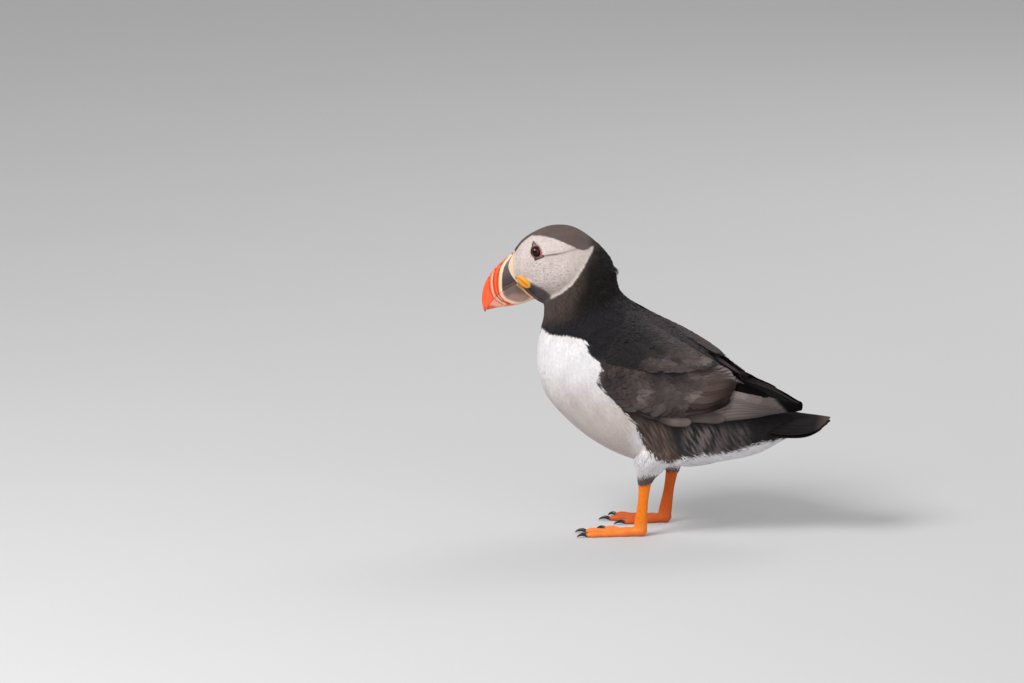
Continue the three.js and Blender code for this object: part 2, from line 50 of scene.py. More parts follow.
# Slanted rings from the face to the root of the tail: top x and z, under x and z, half width, how
# far the widest place sits above or below the middle, and how far the sides bow to the bill.
BODY = np.array([
    [-96.8, 192.4, -83.4, 157.7, 10.5, -0.18, 6.4],
    [-91.2, 199.2, -80.6, 156.9, 15.6, -0.2, 5],
    [-82.8, 204.7, -78.6, 156.1, 19.4, -0.2, 2.5],
    [-71, 208.9, -77.2, 155.2, 21.8, -0.16, 0.5],
    [-57, 207.7, -76.8, 153, 23.4, -0.1, 0],
    [-43, 198.6, -76.9, 149, 24.4, -0.04, 0],
    [-32.2, 185.6, -77.4, 143.5, 25.8, 0, 0],
    [-28.2, 172.4, -79.4, 135.5, 28.6, 0, 0],
    [-24.8, 162, -81.2, 124.5, 33, 0, 0],
    [-11.5, 152.2, -81, 110, 39, 0, 0],
    [4, 143.4, -75.4, 92.8, 43, 0, 0],
    [19, 133, -62.8, 77.8, 44, 0, 0],
    [35, 121.5, -45, 63.4, 42.6, -0.04, 0],
    [48.5, 110.5, -23.5, 52.6, 39.5, -0.08, 0],
    [61, 101.5, 0, 46.6, 34.5, -0.1, 0],
    [72, 95.4, 25, 46.8, 28.5, -0.1, 0],
    [82, 90.2, 49, 50.6, 23, -0.08, 0],
    [90, 86.6, 70, 56, 18, -0.05, 0],
    [97, 83.6, 88, 66, 13, 0, 0],
])
TAIL_ROOT = len(BODY) - 1
HEAD_TURN = math.radians(8)
TURN_AXIS_X = -45
TURN_FADE = (6, 9.5)  # rings over which the head's turn dies away in the neck
SIDES = {"left": -1, "right": 1}

# Each folded wing is three plates, given from front to rear as the low edge's x, y and z, the high
# edge's x, y and z, the bulge between them and the thickness.
SCAPULARS = np.array([
    [-38, 27, 139, -30, 12, 150, 0, 4],
    [-31, 41, 127, -20, 12, 155.2, 3.6, 8],
    [-12, 43, 124.2, -4, 11, 147.8, 6, 9],
    [8, 40, 122.4, 11, 12, 138.6, 6.4, 9],
    [26, 32.6, 121, 26, 13, 130, 4.6, 7],
    [38, 24, 120.8, 38, 12.6, 122.9, 2.2, 4],
    [44, 17, 119.4, 44.4, 12.8, 119.6, 0.5, 2.2],
])
COVERTS = np.array([
    [-36, 32, 119, -36, 29, 131, 0.4, 4],
    [-29.5, 44, 107.5, -22, 38.6, 131, 2, 7],
    [-16.7, 46, 95.6, -4, 36.6, 131, 3.4, 8],
    [3.8, 45.4, 86.4, 15, 30, 129, 4.6, 8],
    [24, 43, 88.6, 31, 20, 125, 5, 8],
    [41.7, 37.6, 90.5, 43.5, 13, 119, 4.6, 6],
    [53, 31.6, 94.6, 52.6, 9.4, 113.4, 3, 4],
    [58.4, 26, 100.4, 58.6, 12.4, 108.4, 1, 2.6],
])
FLIGHT = np.array([
    [-12, 42.6, 92.4, -8, 42, 104, 0.6, 3],
    [13.8, 43, 81.8, 16, 39, 102, 1.6, 3.6],
    [36.7, 37, 82.6, 38, 31, 103, 1.8, 3.6],
    [56, 31, 84.4, 57, 20.4, 103.6, 1.8, 3],
    [72, 25.6, 85.8, 72.6, 18.4, 99.9, 1.4, 2.6],
    [86, 18.6, 87.5, 86, 11.6, 95.8, 0.9, 2.2],
    [95.5, 12.8, 87.7, 95.5, 8.2, 93.6, 0.4, 1.8],
    [101.8, 9.4, 88.5, 101.8, 7.6, 92.2, 0.1, 1.4],
])
TAIL = np.array([  # x, height of the middle, droop of the sides, half width, thickness
    [70, 90, 15, 17, 4],
    [84, 87, 13, 20, 3.4],
    [97, 84.4, 10.4, 22, 2.6],
    [107, 82.8, 7.6, 22.4, 2],
    [113.5, 82, 4.6, 18.6, 1.6],
    [117.6, 81.5, 1.8, 10.6, 1.3],
    [119.8, 81.2, 0.3, 3.4, 1],
])
LEGS = {  # top of the thigh, knee and foot, on the right side
    "left": np.array([[2, 24, 60], [-4, 22, 37.6], [-7, 22.4, 7]]),
    "right": np.array([[6, 24, 60], [7.6, 22, 37.6], [2.4, 22.4, 7]]),
}
THIGH = np.array([  # share of the way up from the knee, radius fore and aft, radius sideways
    [1.4, 5, 4],
    [1.25, 16, 10],
    [0.8, 18.5, 12.4],
    [0.45, 11.5, 10],
    [0.15, 6.2, 5.8],
    [0, 4.9, 4.4],
])


def leg_line(name):
    """The top of the thigh, the knee and the foot of a leg, on its own side of the bird."""
    return LEGS[name] * [1, SIDES[name], 1]


def spline(rows, t):
    """Catmull-Rom through equally spaced rows of numbers, carried straight on past both ends."""
    last = len(rows) - 1
    inside = np.clip(t, 0, last)
    i = np.clip(np.floor(inside).astype(int), 0, last - 1)
    f = (inside - i)[..., None]
    ends = [2 * rows[:1] - rows[1:2], rows, 2 * rows[-1:] - rows[-2:-1]]
    padded = np.concatenate(ends)
    a, b, c, d = (padded[i + k] for k in range(4))
    curve = b + 0.5 * f * (c - a + f * (2 * a - 5 * b + 4 * c - d + f * (3 * (b - c) + d - a)))
    return curve + (t - inside)[..., None] * (c - b)


def ease(low, high, x):
    """0 below low, 1 above high and a smooth step between."""
    t = np.clip((x - low) / (high - low), 0, 1)
    return t * t * (3 - 2 * t)


def turned(p, weight=1.0):
    """Points turned about the upright line through the neck by weight times the head's turn."""
    angle = HEAD_TURN * weight
    x = p[..., 0] - TURN_AXIS_X
    ahead = TURN_AXIS_X + x * np.cos(angle) - p[..., 1] * np.sin(angle)
    return np.stack([ahead, x * np.sin(angle) + p[..., 1] * np.cos(angle), p[..., 2]], -1)


# Where the chin's feathers begin behind the lower bill, as z and x, and how far the chin is drawn in
# there and ahead of it.
CHIN_LINE = np.array([
    [158, -82], [160.5, -83.3], [163.8, -87], [166.6, -89.9], [172, -94.5], [176, -99],
])
CHIN_TUCK = (0.34, 0.3)


def ahead_of_chin(x, z):
    """How far places lie in front of the chin's feathers."""
    return np.interp(z, CHIN_LINE[:, 0], CHIN_LINE[:, 1]) - x


def straight_body(s, angle, h):
    """The body before the head is turned: an egg-shaped ring s, angle 0 on the top line, raised h."""
    row = spline(BODY, s)
    top, under = row[..., 0:2], row[..., 2:4]
    middle, tall = (top + under) / 2, (top - under) / 2
    size = np.linalg.norm(tall, axis=-1)
    unit = tall / size[..., None]
    bulge = np.sin(angle) ** 2
    rise = (size + h) * (np.cos(angle) + row[..., 5] * bulge)
    forward = row[..., 6] * bulge
    x = middle[..., 0] + unit[..., 0] * rise - unit[..., 1] * forward
    z = middle[..., 1] + unit[..., 1] * rise + unit[..., 0] * forward
    ahead = ahead_of_chin(x, z)
    tuck = CHIN_TUCK[0] * ease(-4.5, 0.5, ahead) + CHIN_TUCK[1] * ease(0.2, 3, ahead)
    narrow = 1 - tuck * ease(176, 170, z) * ease(150, 157, z)
    return np.stack([x, (row[..., 4] + h) * np.sin(angle) * narrow, z], -1)


def body(s, angle, h):
    """The body with its head turned."""
    return turned(straight_body(s, angle, h), 1 - ease(*TURN_FADE, s))


def wing_plate(table, side):
    """The outer face of a folded wing's plate: u along it and w from its low to its high edge."""
    def face(u, w, h):
        row = spline(table, u)
        low, high = row[..., 0:3], row[..., 3:6]
        span = high - low
        out = np.stack([0 * span[..., 0], span[..., 2], -span[..., 1]], -1)
        out /= np.linalg.norm(out, axis=-1)[..., None]
        arch = np.maximum(4 * w * (1 - w), -0.4)
        p = low + span * w[..., None] + out * (row[..., 6] * arch + h)[..., None]
        p[..., 2] -= 2.5 * ease(84, 100, p[..., 0]) * (side > 0)  # the right wing's tip hangs lower
        return p * np.array([1, side, 1])
    return face


def tail_roof(u, w, h):
    """The upper face of the tail, arched like a roof: u along it and w from -1 to 1 across."""
    row = spline(TAIL, u)
    z = row[..., 1] - row[..., 2] * np.abs(w) ** 1.5 + h
    return np.stack([row[..., 0] + 0 * w, row[..., 3] * w, z], -1)


def tail_ceiling(u, w, h):
    """The lower face of the tail, raised downwards."""
    return tail_roof(u, w, -spline(TAIL, u)[..., 4] - h)


def slimmer(share):
    """Share of its radius that the front of a thigh keeps, the share of the way up from the knee."""
    return 1 - 0.27 * ease(0.05, 0.45, share) - 0.2 * ease(0.5, 0.95, share)


def thigh(name, side):
    """The feathered thigh: level rings t from its top to the knee."""
    top, knee = LEGS[name][0], LEGS[name][1]

    def face(t, angle, h):
        row = spline(THIGH, t)
        centre = knee + (top - knee) * row[..., 0:1]
        fore = row[..., 1] * np.where(np.cos(angle) < 0, slimmer(row[..., 0]), 1)
        x = centre[..., 0] + (fore + h) * np.cos(angle)
        y = centre[..., 1] + (row[..., 2] + h) * np.sin(angle)
        return np.stack([x, y * side, centre[..., 2]], -1)
    return face


def paint(red, green, blue):
    """A colour given in 0 to 255 as the eye sees it, as linear light."""
    c = np.array([red, green, blue], float) / 255
    return np.where(c <= 0.04045, c / 12.92, ((c + 0.055) / 1.055) ** 2.4)


def off_line(x, z, line):
    """How far points are from a line of straight pieces."""
    line = np.array(line, float)
    best = np.full(np.shape(x), 1e9)
    for a, b in zip(line[:-1], line[1:]):
        d = b - a
        t = np.clip(((x - a[0]) * d[0] + (z - a[1]) * d[1]) / (d @ d), 0, 1)
        best = np.minimum(best, np.hypot(x - a[0] - t * d[0], z - a[1] - t * d[1]))
    return best


def within(x, z, outline):
    """How far points lie inside a closed outline, less than 0 outside it."""
    ring = np.array(outline + outline[:1], float)
    odd = np.zeros(np.shape(x), bool)
    for a, b in zip(ring[:-1], ring[1:]):
        crosses = (a[1] > z) != (b[1] > z)
        rise = b[1] - a[1] if b[1] != a[1] else 1e-9
        odd ^= crosses & (x < a[0] + (z - a[1]) / rise * (b[0] - a[0]))
    return np.where(odd, 1, -1) * off_line(x, z, ring)


def mottle(p, size, seed):
    """Soft random patches of about one size: a sum of waves in random directions, within -1 to 1."""
    rng = np.random.default_rng(seed)
    total = 0
    for _ in range(7):
        way = rng.normal(size=3)
        way *= rng.uniform(0.6, 1.5) / np.linalg.norm(way) / size
        total = total + np.sin(2 * np.pi * (p @ way) + rng.uniform(0, 2 * np.pi))
    return total / 4


# The markings, as outlines on the side of the bird [x, z] before the head is turned.
FACE_PATCH = [
    (-106, 172), (-104, 190), (-97, 200), (-88, 206), (-84, 202.8), (-79.5, 203.4), (-74.5, 203.2),
    (-70, 202.5), (-65, 201), (-58, 198.2), (-52.5, 195.6), (-49.5, 195), (-46.5, 195.4), (-41.5, 199),
    (-43.3, 193.8), (-47.5, 186.6), (-51.5, 179.7), (-57, 172.3), (-64, 166.4), (-72, 161.5),
    (-74.5, 159.8), (-73, 163.5), (-80.5, 166.6), (-85.5, 169.6), (-92, 173),
]
CHEEK_RIM = FACE_PATCH[13:21]
EYE_STRIPE = [(-77, 191.2), (-72, 192.3), (-66.5, 193.2), (-60, 194.6), (-54, 196)]
CHIN_PATCH = [
    (-95, 174), (-85.5, 172), (-80.5, 169.7), (-76.9, 167.9), (-72.2, 164.8), (-72.6, 160.5),
    (-75.5, 158.3), (-79, 155.6), (-84, 153), (-95, 158),
]
WHITE_PATCH = [
    (-110, 141.3), (-76.7, 141.3), (-74, 140.1), (-71, 138.9), (-64.6, 139.7), (-57.3, 140.2),
    (-48.2, 138.7), (-41, 136.2), (-42.1, 133.2), (-41, 129.8), (-37.6, 126.2), (-32.8, 123.4),
    (-31.4, 118.6), (-33.7, 113.6), (-34.2, 108.7), (-29.3, 102.9), (-22.2, 97.6), (-19.4, 92.9),
    (-13.9, 87.1), (-8.8, 81.3), (-6.1, 75.1), (-3.7, 67.9), (0.8, 60.9), (7.6, 56), (14.4, 53),
    (22.1, 55.6), (30.1, 57), (37.9, 58.6), (51.7, 59.6), (60.7, 62.4), (68.4, 65.2), (76, 67.3),
    (86.8, 68.7), (110, 70), (110, 0), (-110, 0),
]
FOREHEAD_BAND = 4.4
PALE_FACE = paint(221, 208, 205)
# painted shade of the pale face
CHEEK_SHADE = paint(148, 134, 129)
RIM_WHITE = paint(218, 205, 200)
CAP_GREY = paint(106, 92, 89)
CHIN_GREY = paint(88, 77, 78)
CHIN_DARK = paint(60, 50, 51)
STRIPE_GREY = paint(112, 102, 100)
COLLAR_BROWN = paint(74, 62, 57)
NAPE_BLACK = paint(20, 15, 14)
MANTLE_BLACK = paint(27, 23, 29)
MANTLE_GREY = paint(57, 48, 54)
RUMP_BLACK = paint(30, 27, 30)
BREAST_WHITE = paint(237, 235, 239)
# painted shade of the white plumage, low on the belly
BELLY_SHADE = paint(204, 192, 187)
FLANK_BROWN = paint(70, 55, 48)
FLANK_TAN = paint(138, 115, 103)
STREAK_GREY = paint(118, 106, 105)
COVERT_BROWN = paint(69, 60, 58)


def mix(a, b, weight):
    """Blend of two colours, weight 0 to 1 for each point."""
    weight = np.asarray(weight)[..., None]
    return a * (1 - weight) + b * weight


def layered(colour, *coats):
    """A colour with others laid over it one after another, each with its weight."""
    for over, weight in coats:
        colour = mix(colour, over, weight)
    return colour


def markings(p, ragged=0.0, breast=0.0):
    """Colour of the plumage at a place on the straight bird. Edges are moved by ragged mm, and the
    white breast is drawn in by breast mm."""
    x, y, z = p[..., 0], p[..., 1], p[..., 2]
    off_middle = np.abs(y)
    patches = mottle(p, 14, 3)
    fine = mottle(p, 3.2, 5)
    streaks = mottle(np.stack([x + 0.45 * z, 0.4 * y, 0.14 * z], -1), 2.3, 8)
    # collar, browner at the throat and black on the nape, then the blue-black mantle
    dark = layered(
        COLLAR_BROWN,
        (NAPE_BLACK, ease(-60, -46, x + 4 * patches - 0.25 * (z - 165))),
        (MANTLE_BLACK, ease(160, 146, z - 0.3 * (x + 50) + 2 * patches)),
        (COVERT_BROWN, 0.8 * ease(129, 123, z) * ease(4, -6, x)),
        (MANTLE_GREY, 0.9 * ease(-26, -4, x) * ease(22, 14, off_middle)),
        (RUMP_BLACK, ease(20, 45, x)),
        (MANTLE_GREY, 0.9 * ease(101, 105, z) * ease(40, 46, x) * ease(4, 7, off_middle)))
    # brown flank over the thigh, with tan streaks, and black behind it with grey ones
    grey = ease(-0.8, 0.7, streaks) * ease(20, 30, x) * (0.55 * ease(72, 62, x) + 0.45 * ease(52, 42, x))
    flank = layered(
        FLANK_BROWN * (0.6 + 0.4 * ease(-1, 9, x))[..., None],
        (FLANK_TAN, 0.48 * ease(-0.6, 1.1, streaks + 0.5 * ease(70, 50, z))),
        (RUMP_BLACK, ease(15, 24, x + 0.25 * (z - 60))),
        (STREAK_GREY, grey * ease(84, 76, z) * ease(57, 62, z)))
    # white breast and belly, with painted shade that greys the lower belly, less towards the rear, the front
    # and the legs, and a little at the top of the white
    cream = 0.9 * ease(120, 84, z + 2 * patches) * (1 - 0.5 * ease(8, 30, x)) * (1 - 0.55 * ease(60, 50, z))
    cream = cream * (1 - 0.8 * ease(-16, -6, x) * ease(90, 66, z))
    white = mix(BREAST_WHITE, BELLY_SHADE, np.maximum(cream, 0.4 * ease(132, 138, z)))
    under_belly = 4 * ease(18, 10, off_middle) * ease(60, 54, z)
    wisps = np.maximum(ragged, -0.3 - 3 * ease(-8, 6, x))
    in_white = within(x, z, WHITE_PATCH) + wisps - breast + under_belly
    # grey-brown cap and forehead band, and the pale face, with painted shade low on the cheek
    cap = mix(CAP_GREY, COLLAR_BROWN, 0.3 * ease(-0.6, 0.9, patches))
    rim = off_line(x, z, CHEEK_RIM)
    stripe = ease(1.0, 0.2, off_line(x, z, EYE_STRIPE)) * (0.4 + 0.4 * ease(-60, -70, x))
    pale = layered(
        PALE_FACE,
        # painted shade low on the cheek, and a little of it low in front by the bill and over the rear of
        # the face
        (CHEEK_SHADE, ease(182, 163, z - 0.4 * (x + 70)) * (0.9 + 0.1 * patches)),
        (CHEEK_SHADE, 0.25 * ease(-80, -90, x) * ease(184, 178, z) + 0.2 * ease(-68, -54, x)),
        (RIM_WHITE, ease(4, 1.2, rim)),
        (STRIPE_GREY, stripe),
        (CHIN_GREY, 0.5 * ease(2.5, 0, off_line(x, z, CHIN_PATCH[:5])) * ease(-72, -78, x)))
    band = ease(FOREHEAD_BAND + 0.4, FOREHEAD_BAND - 0.4, off_middle) * ease(-81, -84, x)
    nape = 2.2 * ease(10, 3, off_middle) * ease(-57, -50, x)
    in_face = within(x, z, FACE_PATCH) + 0.5 * ragged - nape - 0.35 * ease(3, 1, rim)
    chin = mix(CHIN_GREY, CHIN_DARK, ease(7, 2, np.hypot(x + 86.5, 1.3 * (z - 166.5))))
    colour = layered(
        dark,
        (flank, ease(88, 76, z) * ease(-18, -6, x)),
        (white, ease(-0.6, 0.6, in_white)),
        (cap, ease(192, 196, z) * ease(-43, -48, x)),
        (pale, ease(-0.4, 0.5, in_face) * (1 - band * ease(180, 184, z))),
        (chin, ease(-1.5, 0.5, within(x, z, CHIN_PATCH) + 0.5 * ragged)))
    return np.clip(colour * (1 + 0.04 * fine + 0.05 * patches)[..., None], 0, 1)


def grid_faces(rows, columns, closed):
    """Corner numbers of the four-sided faces of a grid, joined round its columns if closed."""
    across = columns if closed else columns - 1
    r, c = np.meshgrid(np.arange(rows - 1), np.arange(across), indexing="ij")
    right = (c + 1) % columns
    corners = [r * columns + c, r * columns + right, (r + 1) * columns + right, (r + 1) * columns + c]
    return np.stack(corners, -1).reshape(-1, 4)


def shell(points):
    """A closed skin round a grid of rings: its points, and its faces facing out, ends filled."""
    rows, columns = points.shape[:2]
    flat = np.concatenate([points.reshape(-1, 3), points[:1].mean(1), points[-1:].mean(1)])
    faces = grid_faces(rows, columns, True).tolist()
    base = (rows - 1) * columns
    for k in range(columns):
        following = (k + 1) % columns
        faces.append([following, k, rows * columns])
        faces.append([base + k, base + following, rows * columns + 1])
    corner = flat[np.array([f[:3] for f in faces])]
    volume = np.einsum("ij,ij->", corner[:, 0], np.cross(corner[:, 1], corner[:, 2]))
    if volume < 0:
        faces = [f[::-1] for f in faces]
    return flat, faces


def joined(parts):
    """Several shells as one list of points and one of faces."""
    points, faces, start = [], [], 0
    for flat, ring in parts:
        points.append(flat)
        faces += [[i + start for i in f] for f in ring]
        start += len(flat)
    return np.concatenate(points), faces


def in_scene(name, data):
    """An object in the scene for a mesh, a lamp or a camera."""
    made = bpy.data.objects.new(name, data)
    bpy.context.scene.collection.objects.link(made)
    return made


def new_piece(name, points, faces):
    """A smoothly shaded mesh object of that name from points in mm."""
    mesh = bpy.data.meshes.new(name)
    mesh.from_pydata((points * MM).tolist(), [], faces)
    mesh.polygons.foreach_set("use_smooth", [True] * len(mesh.polygons))
    mesh.update()
    return in_scene(name, mesh)


def melted(piece, voxel):
    """Closed shells that cross become one skin: rebuilt on a grid of voxels and then relaxed."""
    remesh = piece.modifiers.new("one skin", "REMESH")
    remesh.mode = "VOXEL"
    remesh.voxel_size = voxel * MM
    relax = piece.modifiers.new("relax", "SMOOTH")
    relax.factor = 0.5
    relax.iterations = 3
    bpy.context.view_layer.update()
    ready = piece.evaluated_get(bpy.context.evaluated_depsgraph_get())
    mesh = bpy.data.meshes.new_from_object(ready)
    old = piece.data
    piece.modifiers.clear()
    piece.data = mesh
    bpy.data.meshes.remove(old)
    mesh.polygons.foreach_set("use_smooth", [True] * len(mesh.polygons))
    return piece


def points_of(piece):
    """The points of a piece, in mm."""
    flat = np.zeros(len(piece.data.vertices) * 3, np.float32)
    piece.data.vertices.foreach_get("co", flat)
    return flat.reshape(-1, 3).astype(float) / MM


def set_points(piece, points):
    """Moves the points of a piece to these places, in mm."""
    piece.data.vertices.foreach_set("co", (points * MM).astype(np.float32).ravel())
    piece.data.update()


def set_tint(piece, colours):
    """Stores a colour for each point as the attribute tint."""
    tint = piece.data.attributes.new("tint", "FLOAT_COLOR", "POINT")
    four = np.ones((len(colours), 4), np.float32)
    four[:, :3] = colours
    tint.data.foreach_set("color", four.ravel())


def skin_depth(s):
    """Depth of the plumage over the skin on ring s: 0.7 mm on the face and 3.3 mm on the breast."""
    return 0.7 + 2.6 * ease(3.5, 9, s)


def grid(first, second):
    """Two numbers over a grid, each given as its low end, its high end and their count."""
    return np.meshgrid(np.linspace(*first), np.linspace(*second), indexing="ij")


def full_turn(count):
    """Equally spaced angles round a ring."""
    return np.linspace(0, 2 * np.pi, count + 1)[:-1]


def rings(low, high, count, sides):
    """A number from low to high over a grid of rings, and the angle round each ring."""
    return np.meshgrid(np.linspace(low, high, count), full_turn(sides), indexing="ij")


def closed_plate(table, side, inset):
    """A wing plate drawn in all round by the inset."""
    face = wing_plate(table, side)
    u, w = grid((0.15, len(table) - 1.6, 30), (0.06, 0.94, 10))
    thick = spline(table, u)[..., 7] * (0.3 + 0.6 * np.sqrt(4 * w * (1 - w)))
    outer, inner = face(u, w, -inset), face(u, w, -inset - thick)
    return shell(np.concatenate([outer, inner[:, ::-1]], 1))


SKIN_VOXEL = 0.9
ring_s, ring_angle = rings(0, TAIL_ROOT, 150, 120)
skin_parts = [shell(body(ring_s, ring_angle, -skin_depth(ring_s)))]
for name, side in SIDES.items():
    t, angle = rings(0, 5, 30, 32)
    skin_parts.append(shell(thigh(name, side)(t, angle, -1.3 - 1.8 * ease(3.6, 4.4, t))))
    for table, inset in ((SCAPULARS, 1.6), (COVERTS, 1.6), (FLIGHT, 0.9)):
        skin_parts.append(closed_plate(table, side, inset))
u, w = grid((0, 5.2, 24), (-0.9, 0.9, 24))
roof, ceiling = tail_roof(u, w, -0.5), tail_ceiling(u, w, -0.4)
skin_parts.append(shell(np.concatenate([roof, ceiling[:, ::-1]], 1)))
skin = melted(new_piece("skin", *joined(skin_parts)), SKIN_VOXEL)


def straightened(p):
    """About where points of the finished bird lie before the head is turned."""
    return turned(p, -ease(128, 160, p[:, 2] - 0.35 * (p[:, 0] - TURN_AXIS_X)))


EYE = np.array([-81.7, 12.6, 193.1])
EYE_RADIUS = 4.2
EYE_OPENING = 3.25
SOCKET_DEPTH = 2.6
spots = points_of(skin)
place = straightened(spots)
set_tint(skin, markings(place))
off_eye = np.hypot(place[:, 0] - EYE[0], place[:, 2] - EYE[2])
socket = SOCKET_DEPTH * ease(EYE_OPENING + 1.2, EYE_OPENING + 0.3, off_eye)
spots[:, 1] -= np.sign(place[:, 1]) * socket
set_points(skin, spots)


def node(tree, kind, inputs=(), **settings):
    """A shader node with its settings and inputs, each a value or the socket that feeds it."""
    made = tree.nodes.new(kind)
    for key, value in settings.items():
        setattr(made, key, value)
    for key, value in dict(inputs).items():
        if isinstance(value, bpy.types.NodeSocket):
            tree.links.new(value, made.inputs[key])
        else:
            made.inputs[key].default_value = value
    return made


def finish_of(name, build, **sockets):
    """A material whose Principled shader has these plain sockets, and colour, roughness and normal
    from what build(tree) returns."""
    material = bpy.data.materials.new(name)
    material.use_nodes = True
    tree = material.node_tree
    tree.nodes.clear()
    colour, rough, height, depth = build(tree)
    bump = node(tree, "ShaderNodeBump", {"Height": height, "Distance": depth, "Strength": 1.0})
    inputs = {"Base Color": colour, "Roughness": rough, "Normal": bump.outputs[0]}
    inputs.update({key.replace("_", " "): value for key, value in sockets.items()})
    shader = node(tree, "ShaderNodeBsdfPrincipled", inputs)
    node(tree, "ShaderNodeOutputMaterial", {"Surface": shader.outputs[0]})
    return material


def new_group(name, inputs, outputs):
    """An empty node group whose sockets named Color or Tint are colours and the others numbers, and
    the sockets that give its inputs."""
    tree = bpy.data.node_groups.new(name, "ShaderNodeTree")
    for in_out, labels in (("INPUT", inputs), ("OUTPUT", outputs)):
        for label in labels:
            kind = "NodeSocketColor" if label in ("Color", "Tint") else "NodeSocketFloat"
            tree.interface.new_socket(label, in_out=in_out, socket_type=kind)
    return tree, node(tree, "NodeGroupInput").outputs


def maths(tree, operation, *values):
    """What a math node makes of these numbers or sockets."""
    return node(tree, "ShaderNodeMath", enumerate(values), operation=operation).outputs[0]


def scaled(tree, colour, factor):
    """A colour times a number."""
    inputs = {0: colour, "Scale": factor}
    return node(tree, "ShaderNodeVectorMath", inputs, operation="SCALE").outputs[0]


def noise_group():
    """Colour worn a little darker and lighter by soft noise, with that noise as a height."""
    tree, given = new_group("uneven colour", ("Color", "Size", "Amount"), ("Color", "Height"))
    place = node(tree, "ShaderNodeTexCoord").outputs["Object"]
    noise = {"Vector": place, "Scale": given["Size"], "Detail": 5.0}
    grain = node(tree, "ShaderNodeTexNoise", noise).outputs[0]
    shift = maths(tree, "MULTIPLY", maths(tree, "SUBTRACT", grain, 0.5), given["Amount"])
    worn = scaled(tree, given["Color"], maths(tree, "ADD", shift, 1.0))
    node(tree, "NodeGroupOutput", {"Color": worn, "Height": grain})
    return tree


UNEVEN = noise_group()


def tint_of(tree):
    """The piece's own colours."""
    return node(tree, "ShaderNodeAttribute", attribute_name="tint").outputs["Color"]


def uneven(tree, colour, size, amount):
    """The uneven colour group in a material: its colour and its height."""
    return node(tree, "ShaderNodeGroup", {"Color": colour, "Size": size, "Amount": amount},
                node_tree=UNEVEN).outputs


def tinted(name, size, amount, rough, depth, **sockets):
    """A material in its piece's own colours, worn by noise that also raises its surface."""
    def looks(tree):
        worn = uneven(tree, tint_of(tree), size, amount)
        return worn["Color"], rough, worn["Height"], depth
    return finish_of(name, looks, **sockets)


def fitted(piece, material, slot_name, *nodes):
    """A piece with its material, fixed to the bird in place of its nodes. Its slot name is not used."""
    piece.data.materials.append(material)
    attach(piece, "root")
    if nodes:
        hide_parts(*nodes)
    return piece


fitted(skin, tinted("downy skin", 900.0, 0.5, 0.8, 0.0003), "white_plumage", "head", "neck", "trunk", "tail")
for name in SIDES:
    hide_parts(f"thigh_{name}", f"scapulars_{name}", f"wing_coverts_{name}", f"wing_flight_{name}")

# ---------------------------------------------------------------- body feathers
# Small blade-shaped contour feathers lie over each other from the bill to the tail like tiles. They
# are velvety on the face, silky on the breast and belly, and firmer on the back.

BAKE_PATCH = 0.003  # size of one feather on the baking map
SLOPE_STEP = 1e-3  # of a surface's own numbers
SCATTER_CELLS = 90  # along each of a surface's numbers
TRIES = 9  # random places on each square of one spacing


def slopes(surface, a, b):
    """The surface's two slopes and its outward direction at each place."""
    zero = 0 * a
    here = surface(a, b, zero)
    along = (surface(a + SLOPE_STEP, b, zero) - here) / SLOPE_STEP
    across = (surface(a, b + SLOPE_STEP, zero) - here) / SLOPE_STEP
    out = np.cross(along, across)
    out /= np.linalg.norm(out, axis=-1)[..., None] + 1e-12
    up = surface(a, b, zero + 1) - here
    out *= np.sign((out * up).sum(-1))[..., None]
    return here, along, across, out


def scatter(surface, a_range, b_range, spacing, seed):
    """Places on a surface about one spacing apart: many random ones, with one kept in each cube."""
    rng = np.random.default_rng(seed)
    edges = [np.linspace(*r, SCATTER_CELLS + 1) for r in (a_range, b_range)]
    a, b = np.meshgrid(*[(e[1:] + e[:-1]) / 2 for e in edges], indexing="ij")
    steps = [e[1] - e[0] for e in edges]
    _, along, across, _ = slopes(surface, a, b)
    area = (np.linalg.norm(np.cross(along, across), axis=-1) * (steps[0] * steps[1])).ravel()
    count = int(TRIES * area.sum() / spacing ** 2)
    cell = rng.choice(area.size, count, p=area / area.sum())
    a = a.ravel()[cell] + rng.uniform(-0.5, 0.5, count) * steps[0]
    b = b.ravel()[cell] + rng.uniform(-0.5, 0.5, count) * steps[1]
    cube = np.floor(surface(a, b, 0 * a) / spacing + rng.uniform(0, 1, 3)).astype(int)
    _, first = np.unique(cube, axis=0, return_index=True)
    first.sort()
    return a[first], b[first]


def outline_of(v, blunt):
    """Half width of a feather from root to tip: it widens fast and then closes to its tip."""
    return np.sqrt(np.clip(v / 0.3, 0.05, 1)) * (1 - np.clip(v, 0, 1) ** blunt * 0.93)


